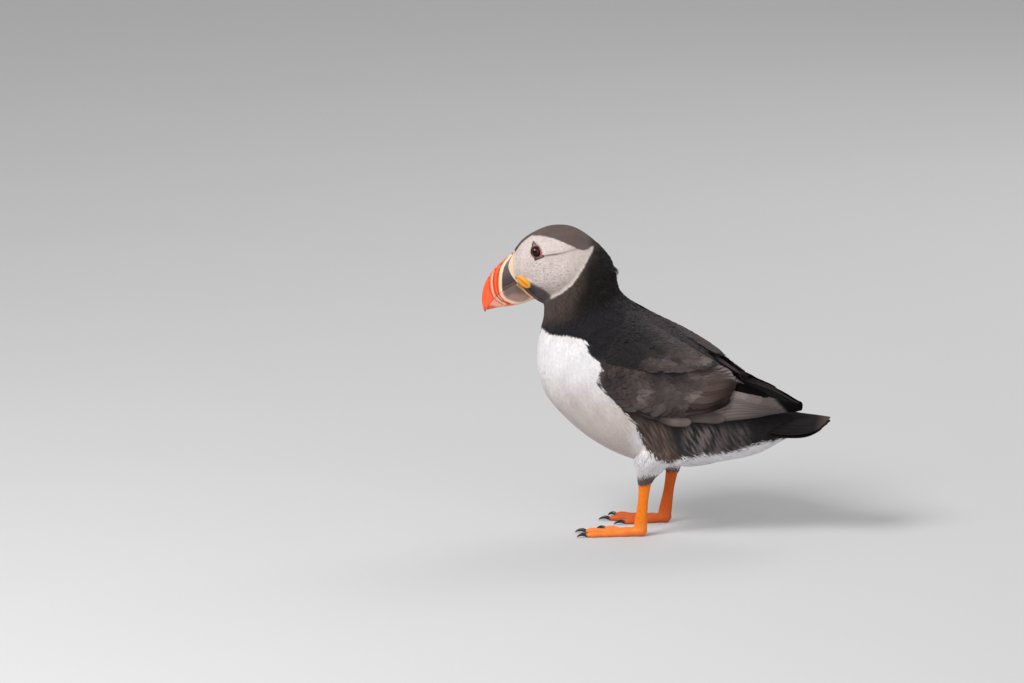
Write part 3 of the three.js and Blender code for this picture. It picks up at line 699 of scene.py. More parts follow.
def lay(surface, a, b, flow, length, width, root, tip, rows=3, columns=2, blunt=2.4, cup=0.12,
        bend=0.0):
    """Feathers on a surface. Each is a grid with v from root to tip along the flow and u from edge
    to edge. A distance along and across is turned into the surface's own two numbers by its slopes
    at the root, so a feather bends with the body. Its height eases from root to tip."""
    _, along, across, out = slopes(surface, a, b)
    ahead = flow - (flow * out).sum(-1)[:, None] * out
    ahead /= np.linalg.norm(ahead, axis=-1)[:, None]
    aside = np.cross(out, ahead)
    aa, ab, bb = (along * along).sum(-1), (along * across).sum(-1), (across * across).sum(-1)
    det = aa * bb - ab * ab + 1e-12
    steps = []
    for way in (ahead, aside):
        p, q = (way * along).sum(-1), (way * across).sum(-1)
        steps += [(bb * p - ab * q) / det, (aa * q - ab * p) / det]
    given = (a, b, length, width, root, tip, bend, *steps)
    a, b, length, width, root, tip, bend, ahead_a, ahead_b, aside_a, aside_b = (
        np.reshape(x, (-1, 1, 1)) for x in given)
    v, u = np.meshgrid(1 - (1 - np.linspace(0, 1, rows + 1)) ** 1.35, np.linspace(-1, 1, columns + 1),
                       indexing="ij")
    far = length * v
    wide = 0.5 * width * outline_of(v, blunt) * u + bend * far * v
    new_a = a + ahead_a * far + aside_a * wide
    new_b = b + ahead_b * far + aside_b * wide
    lift = root + (tip - root) * (1 - (1 - v) ** 1.7) - cup * width * u * u
    shape = (len(a),) + v.shape
    vane = np.stack([np.broadcast_to(u, shape), np.broadcast_to(v, shape)], -1)
    return {"points": surface(new_a, new_b, lift), "a": new_a, "b": new_b, "vane": vane}


def on_map(across, along, margin):
    """Places on the baking map for two shares from 0 to 1, inside its margin."""
    return np.stack([margin + (1 - 2 * margin) * np.clip(x, 0, 1) for x in (across, along)], -1)


def dressed(batch, surface, a, b, tint, root_uv, rng):
    """A batch with its colours, outward directions, places on the baking map and random numbers."""
    batch.update(tint=tint, out=slopes(surface, a, b)[3], root_uv=root_uv, rand=rng.uniform(0, 1, len(a)))
    return batch


def feather_piece(name, batches, material, slot_name):
    """One mesh from batches of feathers, with the attributes tint and vane and the map OFBake."""
    spots, faces, tints, vanes, maps, start = [], [], [], [], [], 0
    for batch in batches:
        points, vane = batch["points"], batch["vane"]
        count, rows, columns = points.shape[:3]
        quads = grid_faces(rows, columns, False)
        out = np.cross(points[:, 1, 0] - points[:, 0, 0], points[:, 0, -1] - points[:, 0, 0])
        if (out * batch["out"]).sum(-1).mean() > 0:
            quads = quads[:, ::-1]
        each = rows * columns
        numbered = start + (np.arange(count) * each)[:, None, None] + quads[None]
        faces.append(numbered.reshape(-1, 4))
        size = BAKE_PATCH * batch.get("patch", 1)
        patch = batch["root_uv"][:, None, None, :] + size * (vane - np.array([0, 0.5])) * [0.5, 1]
        rand = np.broadcast_to(batch["rand"][:, None, None, None], vane.shape[:3] + (1,))
        spots.append(points.reshape(-1, 3))
        tints.append(batch["tint"].reshape(-1, 3))
        vanes.append(np.concatenate([vane, rand], -1).reshape(-1, 3))
        maps.append(patch.reshape(-1, 2))
        start += count * each
    spots, faces, tints = np.concatenate(spots), np.concatenate(faces), np.concatenate(tints)
    vanes, maps = np.concatenate(vanes), np.concatenate(maps)
    mesh = bpy.data.meshes.new(name)
    mesh.vertices.add(len(spots))
    mesh.vertices.foreach_set("co", (spots * MM).astype(np.float32).ravel())
    mesh.loops.add(faces.size)
    mesh.loops.foreach_set("vertex_index", faces.astype(np.int32).ravel())
    mesh.polygons.add(len(faces))
    mesh.polygons.foreach_set("loop_start", np.arange(0, faces.size, 4, dtype=np.int32))
    mesh.polygons.foreach_set("use_smooth", np.ones(len(faces), bool))
    mesh.update(calc_edges=True)
    piece = in_scene(name, mesh)
    set_tint(piece, np.clip(tints, 0, 1))
    vane_map = mesh.attributes.new("vane", "FLOAT_VECTOR", "POINT")
    vane_map.data.foreach_set("vector", vanes.astype(np.float32).ravel())
    bake = mesh.uv_layers.new(name="OFBake")
    bake.data.foreach_set("uv", maps[faces.ravel()].astype(np.float32).ravel())
    print(name, len(faces) * 2, "triangles")
    return fitted(piece, material, slot_name)


def barb_group():
    """Fine slanting barbs either side of a pale shaft, from a feather's own u and v."""
    tree, given = new_group("feather barbs", ("Barbs", "Contrast", "Shaft", "Tint"), ("Color", "Height"))
    vane = node(tree, "ShaderNodeAttribute", attribute_name="vane").outputs["Vector"]
    u, v, rand = node(tree, "ShaderNodeSeparateXYZ", {0: vane}).outputs
    off = maths(tree, "ABSOLUTE", u)
    run = maths(tree, "SUBTRACT", v, maths(tree, "MULTIPLY", off, 0.22))
    wave = maths(tree, "SINE", maths(tree, "MULTIPLY", run, given["Barbs"]))
    shade = maths(tree, "MULTIPLY_ADD", wave, given["Contrast"], 1.0)
    on_shaft = maths(tree, "LESS_THAN", off, given["Shaft"])
    paler = maths(tree, "MULTIPLY_ADD", on_shaft, 0.25, 1.0)
    own = maths(tree, "MULTIPLY_ADD", rand, 0.16, 0.92)
    factor = maths(tree, "MULTIPLY", shade, maths(tree, "MULTIPLY", own, paler))
    node(tree, "NodeGroupOutput", {"Color": scaled(tree, given["Tint"], factor), "Height": wave})
    return tree


BARBS = barb_group()


def plumage(name, barbs, contrast, shaft, rough, depth, sheen, shine=0.3):
    """A feather material: tinted barbs, matt and a little silky."""
    def looks(tree):
        vanes = node(tree, "ShaderNodeGroup", {
            "Tint": tint_of(tree), "Barbs": barbs, "Contrast": contrast, "Shaft": shaft},
            node_tree=BARBS).outputs
        return vanes["Color"], rough, vanes["Height"], depth
    return finish_of(name, looks, Sheen_Weight=sheen, Sheen_Roughness=0.5, Specular_IOR_Level=shine)


down = plumage("silky white feathers", 40.0, 0.03, 0.0, 0.75, 0.00003, 0.15)
velvet = plumage("short face feathers", 18.0, 0.04, 0.0, 0.75, 0.00002, 0.1)
black_down = plumage("close black feathers", 50.0, 0.08, 0.0, 0.65, 0.00003, 0.05, 0.2)

UPPER_PLATE = [(-85.6, 193.8), (-84.1, 200.2), (-79.6, 196.3), (-82, 196)]
LOWER_PLATE = [(-83.4, 190), (-77, 192), (-76.2, 190.9), (-82.6, 188)]
ROSETTE_AT = np.array([-90, 14.6, 172.9])


def bare_places(p):
    """True where the bill, the eye, its plates or the rosette leave no room for feathers."""
    x, z = p[:, 0], p[:, 2]
    opening = np.hypot(x - EYE[0], z - EYE[2]) < EYE_OPENING + 0.2
    plates = (within(x, z, UPPER_PLATE) > -0.1) | (within(x, z, LOWER_PLATE) > -0.1)
    cushion = np.hypot((x - ROSETTE_AT[0]) / 5, (z - ROSETTE_AT[2]) / 3.6) < 1
    chin = (ahead_of_chin(x, z) > 0.2) & (z < 174)
    return ((opening | plates | cushion) & (np.abs(p[:, 1]) > 6)) | chin


def creased(s, angle, h):
    """The face, drawn in along the crease behind the eye."""
    p = straight_body(s, angle, 0 * h)
    return body(s, angle, h - 0.5 * np.exp(-(off_line(p[..., 0], p[..., 2], EYE_STRIPE) / 0.7) ** 2))


def round_thigh(p, name):
    """A thigh's axis and radii level with each point, and the share of the way up from the knee."""
    rows = THIGH[::-1]
    top, knee, _ = leg_line(name)
    share = (p[..., 2] - knee[2]) / (top[2] - knee[2])
    radii = np.stack([np.interp(share, rows[:, 0], rows[:, k]) for k in (1, 2)], -1)
    axis = knee[:2] + (top - knee)[:2] * share[..., None]
    radii[..., 0] *= np.where(p[..., 0] < axis[..., 0], slimmer(share), 1)
    return axis, radii, share


def over_thighs(p, outside):
    """Points pushed level out of the thighs, so that the body's coat drapes over them: e is the
    distance from a thigh's axis in its radii, and it becomes the 8th root of e to the 8th plus 1.
    In front of a thigh they sink into it instead. Feathers that grow outside a thigh stay on its
    outer side."""
    p = p.copy()
    for name, side in SIDES.items():
        axis, radii, share = round_thigh(p, name)
        off = (p[..., :2] - axis) / radii
        near = (np.hypot(off[..., 0], off[..., 1]) < 1.4) & (side * p[..., 1] > 0)
        floor = 0.3 - 2 * np.maximum(ease(-0.4, -0.85, off[..., 0]), ease(1.05, 1.3, share))
        off[..., 1] = np.where(near & outside, side * np.maximum(side * off[..., 1], floor), off[..., 1])
        e = np.maximum(np.hypot(off[..., 0], off[..., 1]), 0.35)
        drape = ease(1.38, 1.15, share) * ease(-0.85, -0.45, off[..., 0])
        grow = 1 + ((e ** 8 + 1) ** (1 / 8) / e - 1) * drape
        p[..., :2] = axis + off * radii * grow[..., None]
    return p


def in_thigh(p):
    """True inside the lower part of a thigh, where no feather of the body grows."""
    hidden = np.zeros(len(p), bool)
    for name in SIDES:
        axis, radii, share = round_thigh(p, name)
        off = (p[:, :2] - axis) / radii
        hidden |= (np.hypot(off[:, 0], off[:, 1]) < 1.0) & (share < 0.84 + 0.12 * mottle(p, 4, 17))
    return hidden


UNRULY = 0.16  # spread of the directions in which the body's feathers lie


def coat(name, s_range, angle_range, spacing, length, width, lift, material, slot_name, seed,
         keep=None, rows=3, ragged=0.5, lean=None, root=0.9, surface=body, shade=0.9, cup=0.12,
         own=0.5, uneven_tone=0.0, breast=0.0):
    """One piece of the body's coat, between rings and angles. Length, width, lift and ragged may be
    functions of the place on the straight bird. A feather's colours are its tip's, own of the way."""
    rng = np.random.default_rng(seed)
    s, angle = scatter(body, s_range, angle_range, spacing, seed)
    p = straight_body(s, angle, 0 * s)
    ok = ~bare_places(p) & ~in_thigh(p)
    if keep is not None:
        ok &= keep(p)
    flow = slopes(body, s, angle)[1]
    flow /= np.linalg.norm(flow, axis=-1)[:, None]
    if not callable(length):
        ok &= ~bare_places(p + 0.7 * length * flow)
    s, angle, p, flow = s[ok], angle[ok], p[ok], flow[ok]
    count = len(s)
    if lean is not None:
        flow = flow + lean(p)
    flow = flow + rng.normal(0, UNRULY, (count, 3))
    long, broad, raised, ragged = (value(p) if callable(value) else value + 0 * s
                                   for value in (length, width, lift, ragged))
    batch = lay(surface, s, angle, flow, long * rng.uniform(0.8, 1.2, count),
                broad * rng.uniform(0.85, 1.15, count), -root * rng.uniform(0.7, 1.1, count),
                raised * rng.uniform(0.2, 1, count), rows, cup=cup, bend=rng.normal(0, 0.06, count))
    batch["points"] = over_thighs(batch["points"], np.abs(p[:, 1, None, None]) > 20)
    place = straight_body(batch["a"], batch["b"], 0 * batch["a"])
    place = place + own * (place[:, -2:-1, 1:2] - place)
    colour = markings(place, ragged[:, None, None] * rng.normal(0, 1, (count, 1, 1)), breast)
    colour = colour * (1 + uneven_tone * rng.normal(0, 1, (count, 1, 1, 1)))
    tint = colour * (shade + (1 - shade) * ease(0, 0.6, batch["vane"][..., 1]))[..., None]
    along, across = ((x - r[0]) / (r[1] - r[0]) for x, r in ((s, s_range), (angle, angle_range)))
    dressed(batch, body, s, angle, tint, on_map(across, along, 0.01), rng)
    return feather_piece(name, [batch], material, slot_name)


RUFFLE_AT = (-29.5, 180.5)  # a tuft that stands off the nape


def neck_lift(p):
    """The neck's feathers lie close, a little raised in clumps and more at the ruffle."""
    ruffle = np.exp(-((p[:, 0] - RUFFLE_AT[0]) ** 2 + (p[:, 2] - RUFFLE_AT[1]) ** 2) / 7)
    clumps = ease(0, 1, mottle(p, 6, 19)) * ease(-50, -40, p[:, 0])
    return 0.4 + 0.7 * clumps + 3.4 * ruffle * (np.abs(p[:, 1]) < 9)


def dark_part(p):
    """The dark neck and back, nearly down to the white of the breast."""
    return within(p[:, 0], p[:, 2], WHITE_PATCH) < -4


FULL = (-np.pi, np.pi)
LEFT, RIGHT = (-np.pi, 0), (0, np.pi)
for name, span, seed in (("left", LEFT, 11), ("right", RIGHT, 12)):
    coat(f"coat_face_{name}", (-0.05, 5.2), span, 0.62, 2.5, 0.8, 0.15, velvet, "face_plumage", seed,
         rows=2, ragged=0.2, root=0.5, surface=creased, shade=0.95, own=0.3)
coat("coat_neck", (5.0, 9.2), FULL, 0.9, 5.5, 1.4, neck_lift, black_down, "black_plumage", 13,
     dark_part, ragged=0.4, shade=0.75, uneven_tone=0.18, breast=5)


# The folded wings hide this much of the trunk, so that nothing grows there.
UNDER_WING = [(-30, 132), (-24, 147), (4, 138), (30, 124), (50, 106), (70, 96), (92, 90), (70, 88),
              (20, 86), (-8, 94), (-24, 108)]


def in_the_open(p):
    """True where no wing covers the trunk."""
    return ~((within(p[:, 0], p[:, 2], UNDER_WING) > 3) & (np.abs(p[:, 1]) > 15))


def on_breast(p):
    """The white part of the trunk in front of the wings."""
    return in_the_open(p) & (within(p[:, 0], p[:, 2], WHITE_PATCH) > -0.8)


def at_border(p):
    """A strip of the dark part along the white breast."""
    inside = within(p[:, 0], p[:, 2], WHITE_PATCH)
    return in_the_open(p) & (inside > -5) & (inside < -2)


def wispy(p):
    """The breast's border is neat under the collar and wispy beside the wing."""
    return 0.3 + 1.2 * ease(132, 122, p[:, 2])


def on_mantle(p):
    """The black back between the wings."""
    return in_the_open(p) & dark_part(p)


def mantle_lift(p):
    """The mantle's feathers rise over the inner edges of the scapulars."""
    return 0.35 + 2 * np.exp(-((np.abs(p[:, 1]) - 11) / 3) ** 2) * ease(120, 126, p[:, 2])


def silk_length(p):
    """The silky feathers are 8 mm long on the breast and 10 mm on the belly."""
    return 8 + 2 * ease(110, 70, p[:, 2])


def belly_lift(p):
    """The belly's feathers hang loose behind the legs."""
    return 0.2 + 1.9 * np.exp(-((p[:, 0] - 22) / 12) ** 2) * ease(58, 50, p[:, 2])


def hanging(p):
    """Feathers of the flank hang down from under the wing."""
    weight = ease(92, 80, p[:, 2]) * ease(-22, -10, p[:, 0]) * ease(58, 44, p[:, 0])
    return weight[:, None] * np.array([-0.35, 0, -1.1])


for name, span in (("left", LEFT), ("right", RIGHT)):
    seed = 20 + 10 * SIDES[name]
    coat(f"coat_breast_{name}", (6.2, 12), span, 0.92, silk_length, 1.8, 0.12, down, "white_plumage",
         seed + 1, on_breast, ragged=wispy, shade=0.98, cup=0.05, breast=-0.6)
    coat(f"coat_belly_{name}", (12, 15.2), span, 0.95, silk_length, 1.7, belly_lift, down, "white_plumage",
         seed + 2, in_the_open, ragged=1.3, lean=hanging, shade=0.96, cup=0.07, uneven_tone=0.04)
    coat(f"coat_rump_{name}", (15.2, 18), span, 0.95, 8, 1.8, 0.35, black_down, "black_plumage",
         seed + 3, in_the_open, ragged=0.9, lean=hanging, uneven_tone=0.08)
coat("coat_collar_edge", (5.2, 12.1), FULL, 0.62, 3.3, 0.95, 0.5, black_down, "black_plumage", 15,
     at_border, rows=2, ragged=0.3, shade=0.8, uneven_tone=0.15, breast=5)
coat("coat_mantle", (9.0, 12.1), FULL, 1.15, 7.5, 2.2, mantle_lift, black_down, "black_plumage", 14,
     on_mantle, ragged=0.4, shade=0.75, uneven_tone=0.12, breast=5)

# ---------------------------------------------------------------- thighs
# The thighs are feathered down to the joint, where a dark fringe ends the plumage.

FRINGE_BROWN = paint(80, 58, 48)
FRINGE_EDGE = (42.6, 40)  # heights at which the fringe begins and is full


def thigh_coat(name, side):
    """White and brown feathers hanging down the thigh, their ragged ends over the top of the leg."""
    rng = np.random.default_rng(50 + side)
    face = thigh(name, side)
    t, angle = scatter(face, (1.2, 4.7), (-np.pi, np.pi), 0.85, 51 + side)
    count = len(t)
    flow = np.array([0.12, 0, -1.0]) + rng.normal(0, 0.12, (count, 3))
    flow[:, 0] += 0.5 * ease(0, 1, np.cos(angle))
    low = ease(3.5, 5, t)
    batch = lay(face, t, angle, flow, rng.uniform(5, 8, count) * (1 - low * rng.uniform(0.4, 0.8, count)),
                rng.uniform(1, 1.6, count) * (1 - 0.3 * low), np.full(count, -1.2),
                rng.uniform(0.1, 0.5, count) - 0.25 * low)
    place = face(batch["a"], batch["b"], 0 * batch["a"])
    colour = markings(place, rng.normal(0, 1.2, (count, 1, 1)))
    white = 0.6 * ease(0.3, 0.5, colour[..., 1]) * ease(60, 46, place[..., 2])
    # the fringe climbs towards the rear of the left leg and is narrow on the right one
    climb = 1.6 * ease(-3, 2, place[..., 0] - LEGS[name][1][0]) if side < 0 else -2.6
    fringe = ease(*FRINGE_EDGE, place[..., 2] - climb + rng.normal(0, 1.1, (count, 1, 1)))
    colour = layered(colour, (BREAST_WHITE, white), (FRINGE_BROWN, 0.92 * fringe))
    # roots painted darker, as shade under the feathers over them
    tint = colour * (0.9 + 0.1 * ease(0, 0.6, batch["vane"][..., 1]))[..., None]
    root_uv = np.stack([0.01 + 0.98 * (angle / np.pi + 1) / 2, 0.01 + 0.19 * t], -1)
    dressed(batch, face, t, angle, tint, root_uv, rng)
    feather_piece(f"coat_thigh_{name}", [batch], down, "white_plumage")


for name, side in SIDES.items():
    thigh_coat(name, side)

# ---------------------------------------------------------------- wings
# Each folded wing shows the scapulars over its root, the small and great coverts in rows, pale-tipped
# secondaries under them, the scalloped tertials and the long primaries that run back to the tail.

firm = plumage("wing feathers", 150.0, 0.07, 0.05, 0.65, 0.00005, 0.05, 0.2)
long_vanes = plumage("flight feathers", 420.0, 0.06, 0.03, 0.65, 0.00004, 0.0, 0.06)
SCAPULAR_BLACK = paint(26, 23, 28)
SCAPULAR_BROWN = paint(83, 74, 72)
COVERT_PALE = paint(132, 119, 117)
PRIMARY_GREY = paint(88, 79, 78)
PRIMARY_PALE = paint(124, 114, 111)
SECONDARY_PALE = paint(116, 104, 101)
FAN_BROWN = paint(78, 65, 63)
FAN_DARK = paint(30, 18, 17)
TIP_BLACK = paint(5, 3, 3)
# painted light for feather edges of the right wing that lie in shade
LIT_EDGE_GREY = paint(140, 128, 136)
SHADOW_LINE = (58.7, 104.1, 0.19)  # painted shadow of the gap between the wings, above a line: x and z of a place on it, and its drop to the rear
WORN_AND_LIT_PLACES = [(-8, 104, 4.6, 7), (25, 103, 7, 4), (31, 98, 5, 3), (27, 119, 12, 3.6)]  # x z, radii; the last is painted light in the shadow under the scapulars' edge
VANE_COLUMNS = np.array([-1, -0.88, -0.66, -0.32, 0, 0.32, 0.66, 0.88, 1])
LARGE_PATCH = 4  # a long feather's patch on the baking map, in small ones
WING_MARGIN = 0.02  # of the baking map


def tiles(table, side, u_range, spacing, long, broad, fall, paint_at, seed, keep=None):
    """Small feathers of a wing, laid like tiles: one about every spacing, with its own tone. They
    point to the rear and rise by fall(place) on the way."""
    rng = np.random.default_rng(seed)
    face = wing_plate(table, side)
    u, w = scatter(face, u_range, (0.0, 1.0), spacing, seed)
    if keep:
        ok = keep(u, w)
        u, w = u[ok], w[ok]
    place = face(u, w, 0 * u)
    count = len(u)
    length = np.clip(long(place) * rng.uniform(0.85, 1.15, count), 2, table[-1, 0] + 2.5 - place[:, 0])
    flow = np.stack([1 + 0 * u, 0 * u, fall(place)], -1) + rng.normal(0, 0.06, (count, 3))
    batch = lay(face, u, w, flow, length, broad * length, np.full(count, -1.4),
                rng.uniform(0.1, 0.35, count), 4, 4, 3.6, 0.04)
    colour, pale = paint_at(place)
    across, v = batch["vane"][..., 0], batch["vane"][..., 1]
    rim = np.maximum(ease(0.72, 1, v), ease(0.55, 1, np.abs(across)) * ease(0.3, 0.6, v))
    tone = mix(colour[:, None, None, :], COVERT_PALE, pale[:, None, None] * rim)
    # each feather has its own tone, and its root is painted darker as shade under the feathers over it
    tone = tone * rng.uniform(0.86, 1.14, (count, 1, 1, 1)) * (0.66 + 0.34 * ease(0, 0.6, v))[..., None]
    root_uv = on_map(u / (len(table) - 1), w, WING_MARGIN)
    return dressed(batch, face, u, w, tone, root_uv, np.random.default_rng(seed))


def blades(surface, unit, limits, start, tip, half, lift, tones, seed, rows=16, curve=1.0, end=0.12,
           dark=0.45, rim=0.3, knob=0.0, under=-0.6, root_shade=0.38):
    """Long feathers on a plate. Each centre line runs from start (u, w) to tip (u, w), w as a power
    of v. The half width is half mm, unit(u) mm to one w, and closes on a half ellipse at the tip. No
    vane passes the plate's limits. The roots lie deeper by under and are painted darker by a given
    share, as shade under the feathers over them. The low edge is dark, partly the feather's own
    dark edge and partly painted shade, and the rims are pale."""
    start, tip, half, lift = (np.asarray(x, float) for x in (start, tip, half, lift))
    v = 1 - (1 - np.linspace(0, 1, rows + 1)) ** 1.3
    u = start[:, :1] + (tip - start)[:, :1] * v
    w = start[:, 1:] + (tip - start)[:, 1:] * v ** curve
    closing = np.sqrt(np.clip(1 - (np.clip((v - 1 + end) / end, 0, 1)) ** 2, 0.004, 1))
    wide = (half + 0 * lift)[:, None] * closing / unit(u)
    limits = limits(u) if callable(limits) else limits
    low, high = np.maximum(w - wide, limits[0]), np.minimum(w + wide, limits[1])
    x = VANE_COLUMNS * np.ones((len(start), rows + 1, 1))
    spot = low[..., None] + (high - low)[..., None] * (x + 1) / 2
    far, v = u[..., None] + 0 * x, v[:, None] + 0 * x
    rise = (lift + 0 * half)[:, None, None] + under * (1 - ease(0.2, 0.55, v)) + knob * ease(0.7, 0.95, v)
    rise = rise - (0.12 + 0.5 * knob) * x * x
    colour, pale = tones
    edge = np.maximum(0.6 * ease(0.4, 0.8, np.abs(x)), ease(0.86, 0.98, v))
    tone = mix(colour[:, None, None, :], pale, rim * edge)
    tone = tone * (1 + 0.07 * np.sin(16 * v + 5 * np.arange(len(start))[:, None, None]))[..., None]
    # painted shade: roots darker under the feathers over them, and the low edge darker, partly its own dark
    # edge
    tone = tone * (1 - root_shade * ease(0.5, 0, v))[..., None]
    tone = tone * (1 - dark * ease(-0.78, -0.95, x))[..., None]
    batch = {"points": surface(far, spot, rise), "vane": np.stack([x, v], -1), "patch": LARGE_PATCH}
    count = len(start)
    root_uv = on_map(np.linspace(0.1, 0.9, count), np.full(count, 0.5), WING_MARGIN)
    return dressed(batch, surface, start[:, 0], start[:, 1], tone, root_uv, np.random.default_rng(seed))


def scapular_paint(place):
    """Blue-black in front, browner behind, with a worn brown band along the low edge, and a painted
    highlight on the rear, strong on the left wing and faint on the right.
    """
    x, z = place[:, 0], place[:, 2]
    soft = mottle(place, 12, 31)
    band = ease(132, 128, z) * ease(123, 126, z) * ease(-12, 0, x) * ease(26, 14, x)
    ridge = (1.25 - 0.25 * (place[:, 1:2] > 0)) * MANTLE_GREY
    # painted highlight on the rear of the scapulars
    worn = ease(1.3, 0.3, np.hypot((x - 30) / 8, (z - 127) / 2.6))
    colour = layered(
        SCAPULAR_BLACK,
        (SCAPULAR_BROWN, ease(-16, 28, x + 9 * soft - 0.5 * (z - 130))),
        (COVERT_PALE, 0.3 * band * ease(-1, 0.4, soft)),
        (ridge, 0.9 * ease(26, 17, np.abs(place[:, 1])) * ease(-18, 0, x)),
        (SCAPULAR_BLACK, 0.8 * ease(130, 126.5, z) * ease(18, 26, x)),
        (COVERT_PALE, (0.85 - 0.7 * (place[:, 1] > 0)) * worn))
    return colour, 0.08 + 0.16 * ease(0, 34, x)


def covert_paint(place):
    """Dark brown, blue-black in the upper middle, with worn grey-brown places under and behind it,
    the last of them painted light where the scapulars' edge shades the coverts.
    """
    x, z = place[:, 0], place[:, 2]
    soft = mottle(place, 11, 33)
    cloud = np.hypot((x - 8) / 15, (z - 118) / 9) + 0.15 * soft
    worn = 0
    for middle_x, middle_z, radius_x, radius_z in WORN_AND_LIT_PLACES:
        away = np.hypot((x - middle_x) / radius_x, (z - middle_z) / radius_z)
        worn = np.maximum(worn, ease(1.6, 0.2, away))
    worn = np.clip(worn * (0.8 + 0.4 * soft) + 0.2 * ease(0, 1, soft), 0, 1)
    colour = layered(
        COVERT_BROWN,
        (SCAPULAR_BROWN, 0.7 * ease(16, 40, x + 8 * soft)),
        (SCAPULAR_BLACK, 0.75 * ease(1.4, 0.4, cloud)),
        (FAN_DARK, 0.85 * ease(97, 91.5, z) * ease(2, 12, x)),
        (SCAPULAR_BLACK, 0.4 * ease(-18, -26, x)),
        (SCAPULAR_BLACK, 0.6 * ease(-19, -26, x) * ease(119, 114, z)),
        (COVERT_PALE, 0.62 * worn))
    return colour, 0.06 + 0.16 * ease(-10, 30, x)


def covert_fall(place):
    """The coverts droop in front and level out towards the low edge and the rear."""
    x, z = place[:, 0], place[:, 2]
    return 0.1 * ease(100, 90, z) - 0.1 - 0.45 * ease(120, 95, z) * ease(4, -20, x)


def small_covert(u, w):
    """True in front of the fan's feathers and over the secondaries' ends."""
    return (u < 3.7 + 0.8 * ease(0.1, 0.7, w)) & (w > 0.08 * ease(2, 2.6, u))


def span_of(table):
    """The width of a plate as a function of u: how many mm there are to one w."""
    def unit(u):
        row = spline(table, u)
        return np.linalg.norm(row[..., 3:6] - row[..., 0:3], axis=-1)
    return unit


def fan(side, seed):
    """Tertials and great coverts: knobbed tips round the rear of the wing, inner ones on top. Low
    ones have dark ends. High ones are painted lighter at the root, as painted light where the
    scapulars' edge shades them, and painted shadow lines lie before the pale knobs."""
    share = np.linspace(0, 1, 13)
    tip = np.stack([4.6 + 2.35 * np.minimum(share / 0.5, 1) ** 0.9 - 0.9 * ease(0.7, 1, share),
                    0.98 - 0.92 * ease(0.4, 1, share)], -1)
    start = np.stack([3.4 - 1.1 * ease(0.3, 1, share), 0.84 - 0.76 * share], -1)
    colour = layered(
        SCAPULAR_BROWN,
        (FAN_BROWN, ease(0.3, 0.6, share)),
        # dark ends on the low feathers; on the left wing the top ones are painted dark as the shade of the
        # hollow between the wings
        (FAN_DARK, 0.8 * ease(0.82, 1, share) + 0.6 * (side < 0) * ease(0.12, 0, share)))
    colour = colour * (1 + 0.12 * np.sin(40 * share))[:, None]
    cut = 0.3 if side < 0 else 0.08
    batch = blades(wing_plate(COVERTS, side), span_of(COVERTS), lambda u: (0, 1 - cut * ease(5.9, 7, u)),
                   start, tip, 2.9 + 1.1 * share, 1.5 - 1.1 * share, (colour, COVERT_PALE), seed,
                   curve=1.5, end=0.2, dark=0.7, rim=0.35, knob=0.6, under=-3, root_shade=0.1)
    share = share[:, None, None]
    x, v = batch["vane"][..., 0], batch["vane"][..., 1]
    low = ease(0.48, 0.64, share)
    high = ease(0.06, 0.14, share) * ease(0.5, 0.38, share) * ease(0.75, 0.3, v)
    knobs = ease(0.1, 0.2, share) * ease(0.6, 0.45, share)
    tint = mix(batch["tint"], FAN_DARK, 0.8 * low * ease(0.6, 0.9, v))
    # low ones lighter at the root; painted light at the root of high ones, where the scapulars' edge shades
    # them; painted shadow across the low side before the pale knobs
    for brighter in (0.3 * low * ease(0.8, 0.4, v), 0.55 * high,
                     -0.4 * ease(0.6, 0.8, v) * ease(-0.1, -0.7, x)):
        tint = tint * (1 + brighter)[..., None]
    tint = mix(tint, COVERT_PALE, knobs * ease(0.6, 0.85, v) * ease(0.9, 0.4, np.abs(x - 0.1)))
    if side > 0:  # painted light: the upper feathers' edges, in shade behind the back, are painted paler
        tint = mix(tint, LIT_EDGE_GREY, 0.6 * ease(0.62, 0.5, share) * ease(0.1, 0.3, v))
    batch["tint"] = tint
    return batch


def primaries(side, seed):
    """Inner ones lie over outer ones, and the outermost is the longest. They are black at the tips,
    and above a line along the wing they carry painted shadow, black, of the gap between the wings."""
    share = np.linspace(0, 1, 9)
    start = np.stack([2 + 0.3 * share, 0.9 - 0.8 * share], -1)
    tip = np.stack([3.6 + 3.38 * share ** 0.8 - 0.45 * (side > 0), 0.84 - 0.36 * share], -1)
    colour = mix(PRIMARY_PALE, PRIMARY_GREY, 0.25 + 0.6 * share + 0.15 * np.sin(8 * share))
    batch = blades(wing_plate(FLIGHT, side), span_of(FLIGHT), (0, 1), start, tip, 4.4, 1 - 0.85 * share,
                   (colour, PRIMARY_PALE), seed, rows=26, end=0.1, dark=0.4, rim=0.12, root_shade=0)
    x, z = batch["points"][..., 0], batch["points"][..., 2]
    line_x, line_z, drop = SHADOW_LINE
    # black tips, and painted shadow above the line
    black = np.maximum(ease(85.4, 88.6, x + z - 93), ease(-0.6, 0.6, z + drop * (x - line_x) - line_z))
    batch["tint"] = mix(batch["tint"] * (1.38 - 0.5 * ease(52, 84, x))[..., None], TIP_BLACK, black)
    return batch


def secondaries(side, seed):
    """Two whose rounded pale ends show under the coverts."""
    colour = mix(SECONDARY_PALE, PRIMARY_GREY, [0, 0.9])
    return blades(wing_plate(FLIGHT, side), span_of(FLIGHT), (-0.1, 1), [[0.8, 0.2], [1.1, 0.36]],
                  [[1.7, 0.09], [2.8, 0.06]], [3.2, 3.7], [0.5, 0.35], (colour, SECONDARY_PALE), seed,
                  end=0.25, dark=0.5, rim=0.35, root_shade=0.72)


